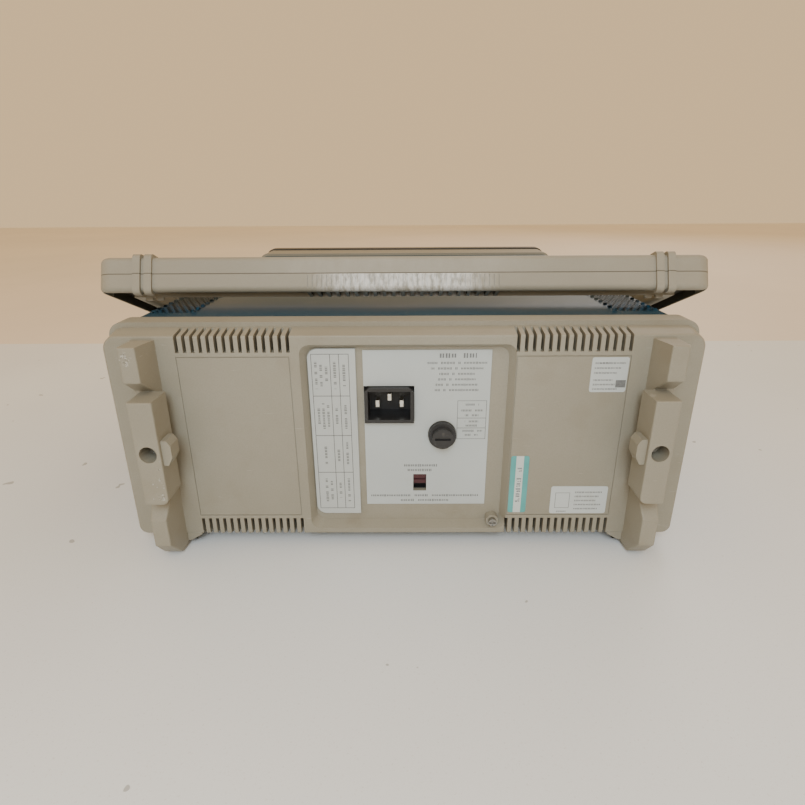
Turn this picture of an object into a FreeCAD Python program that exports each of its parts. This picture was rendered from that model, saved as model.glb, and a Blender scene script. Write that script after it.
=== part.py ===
import FreeCAD, Part
import Sketcher
import os
import re

# A portable logic analyzer that stands on its feet. Its front faces -Y, its rear faces +Y and +Z is up.
# The origin is on the resting plane, below the middle of the whole instrument.

# Driving dimensions: name, value in millimetres or degrees, and what it is.
SIZES = [
    ("overall_depth", 436, "front trim to the rear of the cord-wrap feet"),
    ("case_width", 328.5, "rear frame and front bezel, across"),
    ("case_height", 130, "rear frame and front bezel, upright"),
    ("foot_height", 8, "gap under the case"),
    ("case_wall", 4, "moulded wall of frame and bezel"),
    ("frame_depth", 27, "rear frame, front to back"),
    ("bezel_depth", 52, "front bezel, front to back"),
    ("top_radius", 8, "upper corners of frame and bezel"),
    ("bottom_radius", 5, "lower corners of frame and bezel"),
    ("slope_depth", 13, "sloped band around the rear face"),
    ("slope_drop", 2.1, "fall of the sloped band at the top"),
    ("step_drop", 2.6, "step between the collar and the sloped band at the top"),
    ("side_drop", 1, "step, and then fall, of the band at the sides"),
    ("wrap_standoff", 26, "cord-wrap feet behind the rear face"),
    ("tower_inner", 133.5, "centre to the tower's inner side"),
    ("tower_width", 12.5, "tower, across"),
    ("tower_reach", 20, "tower blocks behind the rear face"),
    ("saddle_reach", 8, "tower's saddle behind the rear face"),
    ("tower_base", 2.5, "tower's lowest edge above the resting plane"),
    ("outer_draft", 2.2, "tower's outer side leans in, from the rear face to its tip"),
    ("inner_draft", 1.5, "tower's inner side leans in, from the rear face to its tip"),
    ("wrap_inner", 128.5, "centre to the cord-wrap foot's inner side"),
    ("wrap_width", 13, "cord-wrap foot, across"),
    ("wrap_low", 45, "cord-wrap foot's lower end"),
    ("wrap_length", 60, "cord-wrap foot, upright"),
    ("wrap_screw_z", 75.5, "height of the cord-wrap screw"),
    ("counterbore_radius", 4.7, "hole over the cord-wrap screw"),
    ("sink_depth", 12, "hole over the cord-wrap screw, deep"),
    ("screw_radius", 2, "thread of the case screws"),
    ("screw_head_radius", 3.6, "head of the case screws"),
    ("screw_head_height", 2.6, "head of the case screws"),
    ("recess_left", 61.5, "centre to the recess's side under the screw boss"),
    ("recess_right", 56.3, "centre to the recess's side by the fuse table"),
    ("recess_low", 12.6, "recess's lower edge"),
    ("recess_high", 128.2, "recess's upper edge"),
    ("recess_depth", 6, "recess into the rear face"),
    ("recess_slope", 3, "slope of the recess's walls"),
    ("recess_radius", 6.5, "corners of the recess"),
    ("recess_wall", 3, "wall behind the recess's floor"),
    ("slot_width", 1.9, "louvre slot"),
    ("slot_pitch", 4.3, "louvre slots, centre to centre"),
    ("slot_count", 15, "louvre slots in a group"),
    ("slot_first", 62, "centre to the first louvre slot's middle"),
    ("slot_top_low", 124, "lower end of the upper louvres"),
    ("slot_bottom_high", 19.8, "upper end of the lower louvres"),
    ("slot_depth", 11.5, "louvres into the rear face"),
    ("border_outer", 123.4, "centre to the line border's outer side"),
    ("border_inner", 61.6, "centre to the line border's inner side"),
    ("border_low", 21.9, "line border's lower side"),
    ("border_high", 121.8, "line border's upper side"),
    ("border_groove", 0.5, "width and depth of the line border"),
    ("label_thickness", 0.3, "stuck-on labels"),
    ("label_gap", 1, "line border to the upper label"),
    ("upper_label_side", 20, "upper label, a square"),
    ("lower_label_width", 33.5, "lower label, across"),
    ("lower_label_height", 18.4, "lower label, upright"),
    ("tall_label_width", 10.6, "tall label, across"),
    ("tall_label_height", 37.6, "tall label, upright"),
    ("plate_thickness", 0.5, "rating plate"),
    ("rating_left", 49, "centre to the rating plate's far side"),
    ("rating_right", 22.4, "centre to the rating plate's side by the table"),
    ("rating_low", 26.4, "rating plate's lower edge"),
    ("rating_high", 123.7, "rating plate's upper edge"),
    ("table_thickness", 1.6, "raised fuse-table plate"),
    ("table_inner", 26.2, "centre to the fuse-table plate's near side"),
    ("table_low", 20.3, "fuse-table plate's lower edge"),
    ("table_high", 124.9, "fuse-table plate's upper edge"),
    ("table_radius", 6, "fuse-table plate's rounded corners"),
    ("table_gap", 0.3, "fuse-table plate's outer side to the recess's sloped wall"),
    ("boss_x", 53.6, "centre to the recess's screw boss"),
    ("boss_z", 17.2, "height of the recess's screw boss"),
    ("boss_radius", 3.8, "recess's screw boss"),
    ("inlet_x", 8, "centre to the mains inlet's middle"),
    ("inlet_z", 92, "height of the mains inlet's middle"),
    ("inlet_width", 28, "inlet shroud, across"),
    ("inlet_height", 21, "inlet shroud, upright"),
    ("inlet_wall", 2, "inlet shroud's wall"),
    ("inlet_depth", 20, "inlet body, front to back"),
    ("inlet_proud", 4, "inlet's rim behind the recess floor"),
    ("pin_length", 8, "inlet contacts"),
    ("fuse_x", 22.4, "centre to the fuse holder's axis"),
    ("fuse_z", 73.2, "height of the fuse holder's axis"),
    ("fuse_radius", 6.4, "fuse holder's barrel"),
    ("fuse_cap_radius", 8, "fuse cap's rim"),
    ("fuse_length", 40, "fuse holder's barrel"),
    ("fuse_wall", 1.6, "fuse holder's tube"),
    ("selector_x", 9.6, "centre to the selector window's middle"),
    ("selector_z", 41.2, "height of the selector window's middle"),
    ("selector_width", 7.8, "selector window, across"),
    ("selector_height", 11.2, "selector window, upright"),
    ("selector_travel", 4.8, "selector slider's travel"),
    ("clearance", 0.3, "gap around moving pieces"),
    ("running_fit", 0.05, "radial gap between a shaft and its bore"),
    ("sleeve_inset", 2.5, "sleeve inside the frame's outline"),
    ("sheet_thickness", 1.2, "sheet metal of sleeve and chassis"),
    ("trim_depth", 14, "dark front ring, front to back"),
    ("trim_proud", 1.5, "dark front ring beyond the bezel"),
    ("trim_lap", 2, "step in the bezel under the dark ring"),
    ("bezel_wall", 9, "bezel around the control panel"),
    ("panel_recess", 9, "control panel behind the front edge"),
    ("panel_thickness", 2.5, "control panel"),
    ("panel_radius", 5, "control panel's corners"),
    ("screen_x", 88, "centre to the screen's middle"),
    ("screen_z", 78, "height of the screen's middle"),
    ("screen_width", 112, "screen opening, across"),
    ("screen_height", 86, "screen opening, upright"),
    ("screen_radius", 6, "screen opening's corners"),
    ("filter_thickness", 2, "tinted filter"),
    ("tube_length", 225, "picture tube behind the filter"),
    ("neck_radius", 14, "picture tube's neck"),
    ("yoke_radius", 32, "deflection yoke"),
    ("yoke_length", 34, "deflection yoke"),
    ("key_width", 12, "key cap, across"),
    ("key_height", 9.5, "key cap, upright"),
    ("key_proud", 4.2, "key cap in front of the control panel"),
    ("key_pitch_x", 16, "keys, centre to centre across"),
    ("key_pitch_z", 15.5, "keys, centre to centre upright"),
    ("key_travel", 1.5, "key travel"),
    ("key_first_x", 12, "centre to the first column of keys"),
    ("key_first_z", 100, "height of the first row of keys"),
    ("cursor_x", 115, "centre to the middle of the cursor keys"),
    ("cursor_z", 62, "height of the middle of the cursor keys"),
    ("stem_width", 6, "key stem"),
    ("stem_length", 6.5, "key stem behind the cap"),
    ("board_thickness", 1.6, "printed board"),
    ("power_x", 138, "centre to the power button's middle"),
    ("power_z", 26, "height of the power button's middle"),
    ("power_width", 11, "power button"),
    ("power_travel", 3, "power button's travel"),
    ("knob_x", 48, "centre to the intensity knob's axis"),
    ("knob_z", 25.5, "height of the intensity knob's axis"),
    ("knob_radius", 7, "intensity knob"),
    ("knob_length", 7.5, "intensity knob"),
    ("knob_shaft_radius", 3, "intensity control's shaft"),
    ("bay_front", -20, "front end of the pod bay"),
    ("bay_rear", 110, "rear end of the pod bay"),
    ("bay_low", 25, "lower side of the pod bay"),
    ("bay_high", 77, "upper side of the pod bay"),
    ("bay_depth", 7, "pod bay into the case"),
    ("pod_length", 50, "pod connector, along the bay"),
    ("pod_height", 11, "pod connector, upright"),
    ("pod_wall", 2, "pod connector's shroud"),
    ("pod_socket", 8, "depth of the pod connector's socket"),
    ("pod_proud", 4, "pod connector in front of the bay's floor"),
    ("pivot_y", -72, "handle's axis"),
    ("pivot_z", 73, "handle's axis above the resting plane"),
    ("handle_overhang", 26.5, "handle beyond the case at each side, without the ridges on its arms"),
    ("handle_reach", 222, "handle's axis to the grip's outer face"),
    ("handle_slope", 22.5, "folded handle above the horizontal"),
    ("arm_width", 20, "handle arm, across"),
    ("arm_depth", 22, "handle arm, in the handle's own plane"),
    ("grip_depth", 20, "grip, in the handle's own plane"),
    ("shell_thickness", 11, "half of the handle's thickness"),
    ("handle_corner", 9, "handle's outer corners"),
    ("handle_round", 3.5, "handle's long edges"),
    ("pivot_boss_radius", 19, "handle's round ends"),
    ("channel_depth", 6, "hollow under the handle"),
    ("channel_wall", 3.5, "walls beside the hollow under the handle"),
    ("band_width", 4.6, "raised bands near the grip's ends"),
    ("band_proud", 1.6, "raised bands above the grip"),
    ("band_outer_x", 164.6, "centre to the outer band's middle"),
    ("band_inner_x", 157.5, "centre to the inner band's middle"),
    ("rib_count", 20, "pockets under the ribbed grip"),
    ("rib_pitch", 5.9, "ribs under the grip, centre to centre"),
    ("rib_width", 2.1, "rib under the grip"),
    ("grip_line", 0.5, "groove on the grip's face"),
    ("ridge_proud", 1.5, "ridge along the arms' outer faces"),
    ("ridge_half", 1.6, "half of that ridge's width"),
    ("hub_radius", 17, "handle hub's disc"),
    ("hub_shaft_radius", 9, "shaft that the handle turns on"),
    ("foot_x", 138, "centre to a rubber foot's middle"),
    ("foot_width", 16, "rubber foot, across"),
    ("foot_length", 14, "rubber foot, front to back"),
    ("foot_setback", 6, "rear face to a rear foot's end"),
    ("tray_gap", 1.4, "chassis above the sleeve's floor"),
    ("tray_side", 22, "chassis's side flange"),
    ("post_height", 8, "posts under the boards"),
    ("board_width", 236, "main board, across"),
    ("board_length", 200, "main board, front to back"),
    ("stack_gap", 24, "main board to the acquisition board"),
    ("supply_depth", 92, "power supply board, front to back"),
]

DOC = FreeCAD.newDocument("logic_analyzer")
NAMES = {name for name, value, words in SIZES}
PARTS = []

# Places that follow from the driving dimensions.
REAR_TIP = "(overall_depth / 2)"
REAR = "(overall_depth / 2 - wrap_standoff)"
COLLAR = f"({REAR} - slope_depth)"
FRAME_FRONT = f"({REAR} - frame_depth)"
RECESS_FLOOR = f"({REAR} - recess_depth)"
WALL_INSIDE = f"({RECESS_FLOOR} - recess_wall)"
SINK = f"({REAR_TIP} - sink_depth)"
FRONT = "(0 - overall_depth / 2)"
BEZEL_BACK = f"({FRONT} + bezel_depth)"
PANEL_FACE = f"({FRONT} + panel_recess)"
PANEL_BACK = f"({PANEL_FACE} + panel_thickness)"
TUBE_FACE = f"({PANEL_BACK} + filter_thickness + 1)"
BRACKET = f"({TUBE_FACE} + 105 + yoke_length)"
CASE_X = "(case_width / 2)"
BASE = "foot_height"
TOP = "(foot_height + case_height)"
SLEEVE_X = f"({CASE_X} - sleeve_inset)"
SLEEVE_LOW = f"({BASE} + sleeve_inset)"
SLEEVE_HIGH = f"({TOP} - sleeve_inset)"
TRAY_LOW = f"({SLEEVE_LOW} + sheet_thickness + tray_gap)"
TRAY_TOP = f"({TRAY_LOW} + sheet_thickness)"
BOARD_LOW = f"({TRAY_TOP} + post_height)"
BOARD_TOP = f"({BOARD_LOW} + board_thickness)"
BAY_FLOOR = f"({SLEEVE_X} - bay_depth)"
HANDLE_HALF = "(case_width / 2 + handle_overhang)"
ARM_INNER = f"({HANDLE_HALF} - arm_width)"

# A turn that takes a cylinder's own axis from Z to the axis named.
TURNS = {
    "z": FreeCAD.Rotation(),
    "y": FreeCAD.Rotation(FreeCAD.Vector(1, 0, 0), -90),
    "x": FreeCAD.Rotation(FreeCAD.Vector(0, 1, 0), 90),
}


def fill_sheet():
    sheet = DOC.addObject("Spreadsheet::Sheet", "dims")
    for row, (name, value, words) in enumerate(SIZES, start=1):
        sheet.set(f"A{row}", words)
        sheet.set(f"B{row}", str(value))
        sheet.setAlias(f"B{row}", name)
    DOC.recompute()
    return sheet


SHEET = fill_sheet()


def size(name):
    return float(SHEET.get(name))


def refer(text):
    """Turn the names of sizes in an expression into references to the sheet."""
    return re.sub(r"[a-z_]+", lambda m: "dims." + m[0] if m[0] in NAMES else m[0], str(text))


def value(text):
    """An expression's present value."""
    return float(SHEET.evalExpression(refer(text)))


def bind(thing, settings):
    for path, text in settings.items():
        thing.setExpression(path, refer(text))
    return thing


def base(x, y, z):
    return {"Placement.Base.x": x, "Placement.Base.y": y, "Placement.Base.z": z}


def block_settings(low, high):
    sides = [f"({b}) - ({a})" for a, b in zip(low, high)]
    return {"Length": sides[0], "Width": sides[1], "Height": sides[2], **base(*low)}


def box(name, low, high):
    return bind(DOC.addObject("Part::Box", name), block_settings(low, high))


def rod(name, axis, start, radius, length):
    """A cylinder from a point, along +X, +Y or +Z."""
    thing = DOC.addObject("Part::Cylinder", name)
    thing.Placement = FreeCAD.Placement(FreeCAD.Vector(), TURNS[axis])
    return bind(thing, {"Radius": radius, "Height": length, **base(*start)})


def fuse(name, *shapes):
    thing = DOC.addObject("Part::MultiFuse", name)
    thing.Shapes = list(shapes)
    return thing


def cut(name, whole, *tools):
    thing = DOC.addObject("Part::Cut", name)
    thing.Base = whole
    thing.Tool = tools[0] if len(tools) == 1 else fuse(name + "_tools", *tools)
    return thing


def group(name, *shapes):
    thing = DOC.addObject("Part::Compound", name)
    thing.Links = list(shapes)
    return thing


def keep(label, thing):
    """Name a finished sub-part after its node."""
    thing.Label = label
    PARTS.append(thing)
    return thing


def body(name):
    return DOC.addObject("PartDesign::Body", name)


def origin_part(owner, role):
    return next(f for f in owner.Origin.OriginFeatures if f.Role == role)


def solid(owner, kind, name, low, high):
    """A PartDesign box that adds to a body or cuts it."""
    return bind(owner.newObject(f"PartDesign::{kind}Box", name), block_settings(low, high))


def round_solid(owner, kind, name, axis, start, radius, length):
    thing = owner.newObject(f"PartDesign::{kind}Cylinder", name)
    thing.Placement = FreeCAD.Placement(FreeCAD.Vector(), TURNS[axis])
    return bind(thing, {"Radius": radius, "Height": length, **base(*start)})


def tapered(owner, kind, name, near, far, start, end):
    """A PartDesign wedge along Y. near and far are (x low, x high, z low, z high) at start and end."""
    thing = owner.newObject(f"PartDesign::{kind}Wedge", name)
    names = ("Xmin", "Xmax", "Zmin", "Zmax")
    far_names = ("X2min", "X2max", "Z2min", "Z2max")
    settings = {**dict(zip(names, near)), **dict(zip(far_names, far)), "Ymin": start, "Ymax": end}
    return bind(thing, settings)


def sketch(owner, name, plane, level, outline):
    """A closed outline of straight lines, each corner held by two bound distances."""
    thing = owner.newObject("Sketcher::SketchObject", name)
    thing.AttachmentSupport = [(origin_part(owner, plane + "_Plane"), "")]
    thing.MapMode = "FlatFace"
    bind(thing, {"AttachmentOffset.Base.z": level})
    corners = [FreeCAD.Vector(value(u), value(v), 0) for u, v in outline]
    count = len(corners)
    for i in range(count):
        thing.addGeometry(Part.LineSegment(corners[i], corners[(i + 1) % count]))
    for i in range(count):
        thing.addConstraint(Sketcher.Constraint("Coincident", i, 2, (i + 1) % count, 1))
    for i, (u, v) in enumerate(outline):
        across = thing.addConstraint(Sketcher.Constraint("DistanceX", -1, 1, i, 1, corners[i].x))
        upright = thing.addConstraint(Sketcher.Constraint("DistanceY", -1, 1, i, 1, corners[i].y))
        bind(thing, {f"Constraints[{across}]": u, f"Constraints[{upright}]": v})
    return thing


def pad(owner, name, plane, level, outline, length):
    """Pad an outline along its plane's own normal: +Z for XY, +X for YZ and -Y for XZ."""
    thing = owner.newObject("PartDesign::Pad", name)
    thing.Profile = sketch(owner, name + "_outline", plane, level, outline)
    return bind(thing, {"Length": length})


def fillet(owner, name, radius, wanted):
    """Round the edges of a body's present shape that wanted(edge) picks."""
    DOC.recompute()
    tip = owner.Tip
    edges = [f"Edge{i}" for i, edge in enumerate(tip.Shape.Edges, start=1) if wanted(edge)]
    if not edges:
        raise ValueError(name + " has no edge to round")
    thing = owner.newObject("PartDesign::Fillet", name)
    thing.Base = (tip, edges)
    return bind(thing, {"Radius": radius})


def runs_along(edge, axis):
    """Whether an edge is straight and lies mostly along one axis."""
    if len(edge.Vertexes) != 2 or edge.Curve.TypeId != "Part::GeomLine":
        return False
    step = edge.Vertexes[1].Point - edge.Vertexes[0].Point
    return abs(getattr(step, axis)) > 0.9 * step.Length


def spread(owner, feature, axis, count, length):
    """Repeat a feature along an axis of its body."""
    thing = owner.newObject("PartDesign::LinearPattern", feature.Name + "_row")
    thing.Originals = [feature]
    thing.Direction = (origin_part(owner, axis + "_Axis"), [""])
    bind(thing, {"Length": length, "Occurrences": count})
    owner.Tip = thing
    return thing


def side_range(side, inner, outer):
    """The low and high x of something that lies between two distances from the centre, on one side."""
    return (inner, outer) if side > 0 else (f"0 - ({outer})", f"0 - ({inner})")


# Rear frame


def rear_shell(owner):
    drop = "(step_drop + slope_drop)"
    band = (f"0 - ({CASE_X} - side_drop)", f"{CASE_X} - side_drop", f"{BASE} + 0.2", f"{TOP} - step_drop")
    face_x = f"({CASE_X} - 2 * side_drop)"
    face = (f"0 - {face_x}", face_x, f"{BASE} + side_drop", f"{TOP} - {drop}")
    solid(owner, "Additive", "frame_collar", (f"0 - {CASE_X}", FRAME_FRONT, BASE), (CASE_X, COLLAR, TOP))
    tapered(owner, "Additive", "frame_band", band, face, COLLAR, REAR)
    middle = value(f"({TOP} + {BASE}) / 2")
    corner_x = value(f"{CASE_X} - 3 * side_drop")

    def corner(edge):
        return runs_along(edge, "y") and abs(edge.CenterOfMass.x) > corner_x

    fillet(owner, "frame_top_corners", "top_radius", lambda e: corner(e) and e.CenterOfMass.z > middle)
    fillet(owner, "frame_bottom_corners", "bottom_radius", lambda e: corner(e) and e.CenterOfMass.z < middle)
    rear = value(REAR)
    fillet(owner, "frame_rear_rim", "1.2", lambda e: e.BoundBox.YMin > rear - 0.01)
    low = (f"0 - ({CASE_X} - case_wall)", f"{FRAME_FRONT} - 1", f"{BASE} + case_wall")
    high = (f"{CASE_X} - case_wall", WALL_INSIDE, f"{TOP} - {drop} - case_wall")
    solid(owner, "Subtractive", "frame_hollow", low, high)


def rear_recess(owner):
    floor = (
        "0 - (recess_left - recess_slope)",
        "recess_right - recess_slope",
        "recess_low + recess_slope",
        "recess_high - recess_slope",
    )
    mouth = ("0 - recess_left", "recess_right", "recess_low", "recess_high")
    tapered(owner, "Subtractive", "recess", floor, mouth, RECESS_FLOOR, REAR)
    bottom = value(RECESS_FLOOR)

    left, right = value("0 - recess_left") - 1, value("recess_right") + 1

    def wall_corner(edge):
        ends = sorted(vertex.Point.y for vertex in edge.Vertexes)
        inside = edge.BoundBox.XMin > left and edge.BoundBox.XMax < right
        return len(ends) == 2 and inside and abs(ends[0] - bottom) < 0.1 and ends[1] > bottom + 1

    fillet(owner, "recess_corners", "recess_radius", wall_corner)
    start = ("0 - boss_x", f"{RECESS_FLOOR} - 1", "boss_z")
    round_solid(owner, "Additive", "screw_boss", "y", start, "boss_radius", "recess_depth")
    start = ("0 - boss_x", f"{RECESS_FLOOR} - recess_wall - 1", "boss_z")
    radius = "screw_radius + clearance"
    round_solid(owner, "Subtractive", "screw_hole", "y", start, radius, "recess_depth + 5")


def louvres(owner):
    groups = (
        ("upper", "slot_top_low", f"{TOP} + 1"),
        ("lower", f"{BASE} - 1", "slot_bottom_high"),
    )
    row = "(slot_count - 1) * slot_pitch"
    for height, low, high in groups:
        for side, first in (("right", "slot_first"), ("left", f"0 - slot_first - {row}")):
            corner = (f"{first} - slot_width / 2", f"{REAR} - slot_depth", low)
            far = (f"{first} + slot_width / 2", f"{REAR} + 1", high)
            slot = solid(owner, "Subtractive", f"{height}_{side}_louvre", corner, far)
            spread(owner, slot, "X", "slot_count", row)


def line_borders(owner):
    for side in (1, -1):
        inner, outer = side_range(side, "border_inner", "border_outer")
        depth = f"{REAR} - border_groove"
        thick = "border_groove"
        lines = (
            (inner, outer, "border_low", f"border_low + {thick}"),
            (inner, outer, f"border_high - {thick}", "border_high"),
            (inner, f"{inner} + {thick}", "border_low", "border_high"),
            (f"{outer} - {thick}", outer, "border_low", "border_high"),
        )
        for x_low, x_high, z_low, z_high in lines:
            solid(owner, "Subtractive", "border_line", (x_low, depth, z_low), (x_high, f"{REAR} + 1", z_high))


def tower(owner, side):
    """A stepped post at a rear corner: two blocks with a saddle between them."""
    start, end = side_range(side, "tower_inner", "tower_inner + tower_width")
    block = f"{REAR} + tower_reach"
    saddle = f"{REAR} + saddle_reach"
    inside = f"{REAR} - slope_depth + 1"
    outline = [
        (inside, f"{BASE} + 2"),
        (f"{REAR} - 2", f"{BASE} + 2"),
        (f"{REAR} - 2", "tower_base"),
        (f"{REAR} + 9", "tower_base"),
        (block, "tower_base + 11.5"),
        (block, "wrap_low - 14"),
        (saddle, "wrap_low - clearance"),
        (saddle, "wrap_low + wrap_length + clearance"),
        (block, "wrap_low + wrap_length + 8.5"),
        (block, "wrap_low + wrap_length + 27.5"),
        (f"{REAR} - 1", f"{TOP} - step_drop - slope_drop - 2"),
        (inside, f"{TOP} - step_drop - slope_drop - 2"),
    ]
    name = "tower_right" if side > 0 else "tower_left"
    pad(owner, name, "YZ", start, outline, "tower_width")
    tip = f"({REAR} + tower_reach + 1)"
    flanks = (("tower_inner + tower_width", "0 - outer_draft", 1), ("tower_inner", "inner_draft", -1))
    for edge, lean, away in flanks:
        near = side_range(side, *sorted((edge, f"{edge} + {away}"), key=value))
        far = side_range(side, *sorted((f"{edge} + {lean}", f"{edge} + {away}"), key=value))
        heights = ("0", TOP)
        draft = f"{name}_{'outer' if away > 0 else 'inner'}_draft"
        tapered(owner, "Subtractive", draft, (*near, *heights), (*far, *heights), REAR, tip)
    gusset = [
        (f"{side} * (tower_inner + 1)", f"{BASE} + 2"),
        (f"{side} * (tower_inner + 1)", "tower_base + 1.5"),
        (f"{side} * (tower_inner - 2)", "tower_base + 1.5"),
        (f"{side} * (tower_inner - 9)", BASE),
        (f"{side} * (tower_inner - 9)", f"{BASE} + 2"),
    ]
    pad(owner, name + "_gusset", "XZ", f"0 - ({REAR} - 0.5)", gusset, "3")
    face = value(f"{REAR} + 2")
    x_low, x_high = value(start), value(end)

    def tower_edge(edge):
        box_ = edge.BoundBox
        return box_.YMin > face and box_.XMin > x_low - 0.1 and box_.XMax < x_high + 0.1

    fillet(owner, name + "_edges", "0.9", tower_edge)
    thread = (f"{side} * (wrap_inner + wrap_width / 2)", f"{REAR} - 2", "wrap_screw_z")
    round_solid(owner, "Subtractive", name + "_thread", "y", thread, "screw_radius", "saddle_reach + 4")


def rear_cutouts(owner):
    back = (f"{WALL_INSIDE} - 1", f"{RECESS_FLOOR} + 1")
    half_width = "(inlet_width / 2 + clearance)"
    half_height = "(inlet_height / 2 + clearance)"
    low = (f"inlet_x - {half_width}", back[0], f"inlet_z - {half_height}")
    high = (f"inlet_x + {half_width}", back[1], f"inlet_z + {half_height}")
    solid(owner, "Subtractive", "inlet_hole", low, high)
    start = ("0 - fuse_x", back[0], "fuse_z")
    round_solid(owner, "Subtractive", "fuse_hole", "y", start, "fuse_radius + clearance", "recess_wall + 2")
    low = ("0 - selector_x - selector_width / 2", back[0], "selector_z - selector_height / 2")
    high = ("0 - selector_x + selector_width / 2", back[1], "selector_z + selector_height / 2")
    solid(owner, "Subtractive", "selector_hole", low, high)


def rear_panel():
    owner = body("rear_frame")
    rear_shell(owner)
    rear_recess(owner)
    tower(owner, 1)
    tower(owner, -1)
    louvres(owner)
    line_borders(owner)
    rear_cutouts(owner)
    keep("rear_panel", owner)


def cord_wrap_foot(side, label):
    """A block that screws onto a tower's saddle, with a hook that keeps the wound lead in place."""
    owner = body(label + "_body")
    start, end = side_range(side, "wrap_inner", "wrap_inner + wrap_width")
    saddle = f"({REAR} + saddle_reach)"
    low = (start, saddle, "wrap_low")
    high = (end, REAR_TIP, "wrap_low + wrap_length")
    solid(owner, "Additive", label + "_block", low, high)
    inner_x = value(f"{side} * wrap_inner")
    bottom = value("wrap_low")

    def lower_inner(edge):
        centre = edge.CenterOfMass
        return runs_along(edge, "y") and abs(centre.x - inner_x) < 0.1 and centre.z < bottom + 1

    fillet(owner, label + "_corner", "4", lower_inner)
    face = value(REAR_TIP)
    fillet(owner, label + "_edges", "0.8", lambda e: e.BoundBox.YMin > face - 0.01)
    hook = [
        (f"{side} * (wrap_inner + 1)", "wrap_screw_z + 7"),
        (f"{side} * (wrap_inner - 3)", "wrap_screw_z + 7"),
        (f"{side} * (wrap_inner - 5)", "wrap_screw_z + 4"),
        (f"{side} * (wrap_inner - 5)", "wrap_screw_z - 3"),
        (f"{side} * (wrap_inner - 2.5)", "wrap_screw_z - 7.5"),
        (f"{side} * (wrap_inner + 1)", "wrap_screw_z - 7.5"),
    ]
    pad(owner, label + "_hook", "XZ", f"0 - ({REAR_TIP} - 2.5)", hook, "10")
    x = f"{side} * (wrap_inner + wrap_width / 2)"
    sink = (x, SINK, "wrap_screw_z")
    round_solid(owner, "Subtractive", label + "_sink", "y", sink, "counterbore_radius", "sink_depth + 1")
    bore = (x, f"{saddle} - 1", "wrap_screw_z")
    round_solid(owner, "Subtractive", label + "_bore", "y", bore, "screw_radius + clearance", "wrap_standoff")
    keep(label, owner)


def screw(name, x, seat, z, length, radius="screw_head_radius"):
    """A pan-head screw whose head sits on a face at y = seat and whose thread points to -Y."""
    head = rod(name + "_head", "y", (x, seat, z), radius, "screw_head_height")
    thread = rod(name + "_thread", "y", (x, f"{seat} - ({length})", z), "screw_radius", f"{length} + 1")
    whole = fuse(name + "_whole", head, thread)
    level = f"{seat} + screw_head_height - 1.1"
    bars = (
        box(name + "_bar", (f"{x} - 2", level, f"{z} - 0.45"), (f"{x} + 2", f"{level} + 2", f"{z} + 0.45")),
        box(name + "_post", (f"{x} - 0.45", level, f"{z} - 2"), (f"{x} + 0.45", f"{level} + 2", f"{z} + 2")),
    )
    return cut(name, whole, *bars)


def case_screws():
    x = "(wrap_inner + wrap_width / 2)"
    length = "wrap_standoff - saddle_reach - sink_depth + saddle_reach + 1"
    right = screw("wrap_screw_right", x, SINK, "wrap_screw_z", length)
    left = screw("wrap_screw_left", f"(0 - {x})", SINK, "wrap_screw_z", length)
    seat = f"({RECESS_FLOOR} + recess_depth - 1)"
    length = "recess_depth + recess_wall + 3"
    frame = screw("frame_screw", "(0 - boss_x)", seat, "boss_z", length, "boss_radius - 1.3")
    keep("case_screws", group("screw_set", right, left, frame))


# Plates, labels, inlet, fuse and selector in the recess


def selector_hole_tool(name):
    low = ("0 - selector_x - selector_width / 2", f"{RECESS_FLOOR} - 1", "selector_z - selector_height / 2")
    high = ("0 - selector_x + selector_width / 2", f"{RECESS_FLOOR} + 3", "selector_z + selector_height / 2")
    return box(name, low, high)


def recess_plates():
    low = ("0 - rating_left", RECESS_FLOOR, "rating_low")
    high = ("rating_right", f"{RECESS_FLOOR} + plate_thickness", "rating_high")
    plate = box("rating_blank", low, high)
    half_x = "(inlet_width / 2 + clearance)"
    half_z = "(inlet_height / 2 + clearance)"
    low = (f"inlet_x - {half_x}", f"{RECESS_FLOOR} - 1", f"inlet_z - {half_z}")
    high = (f"inlet_x + {half_x}", f"{RECESS_FLOOR} + 3", f"inlet_z + {half_z}")
    inlet = box("rating_inlet_hole", low, high)
    start = ("0 - fuse_x", f"{RECESS_FLOOR} - 1", "fuse_z")
    fuse_hole = rod("rating_fuse_hole", "y", start, "fuse_cap_radius + clearance", "4")
    selector_hole = selector_hole_tool("rating_selector_hole")
    keep("rating_plate", cut("rating_sheet", plate, inlet, fuse_hole, selector_hole))
    owner = body("fuse_table")
    low = ("table_inner", RECESS_FLOOR, "table_low")
    table_outer = "(recess_right - recess_slope - table_gap)"
    high = (table_outer, f"{RECESS_FLOOR} + table_thickness", "table_high")
    solid(owner, "Additive", "table_blank", low, high)
    outer = value(table_outer)

    def outer_corner(edge):
        return runs_along(edge, "y") and abs(edge.CenterOfMass.x - outer) < 0.1

    fillet(owner, "table_corners", "table_radius", outer_corner)
    face = value(f"{RECESS_FLOOR} + table_thickness")
    fillet(owner, "table_rim", "0.5", lambda e: e.BoundBox.YMin > face - 0.01)
    keep("fuse_table_plate", owner)


def sticker(name, x, z, width, height):
    return box(name, (x, REAR, z), (f"{x} + {width}", f"{REAR} + label_thickness", f"{z} + {height}"))


def stickers():
    """Three stuck-on labels inside the line border, measured in from its corners."""
    start = ("0 - border_outer + label_gap", "border_high - label_gap - upper_label_side")
    upper = sticker("upper_label", *start, "upper_label_side", "upper_label_side")
    start = ("0 - border_outer + 2.5 * label_gap", "border_low + 1.2 * label_gap")
    lower = sticker("lower_label", *start, "lower_label_width", "lower_label_height")
    start = ("0 - border_inner - 0.8 * label_gap - tall_label_width", "border_low + 2 * label_gap")
    tall = sticker("tall_label", *start, "tall_label_width", "tall_label_height")
    keep("rear_labels", group("label_set", upper, lower, tall))


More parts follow.
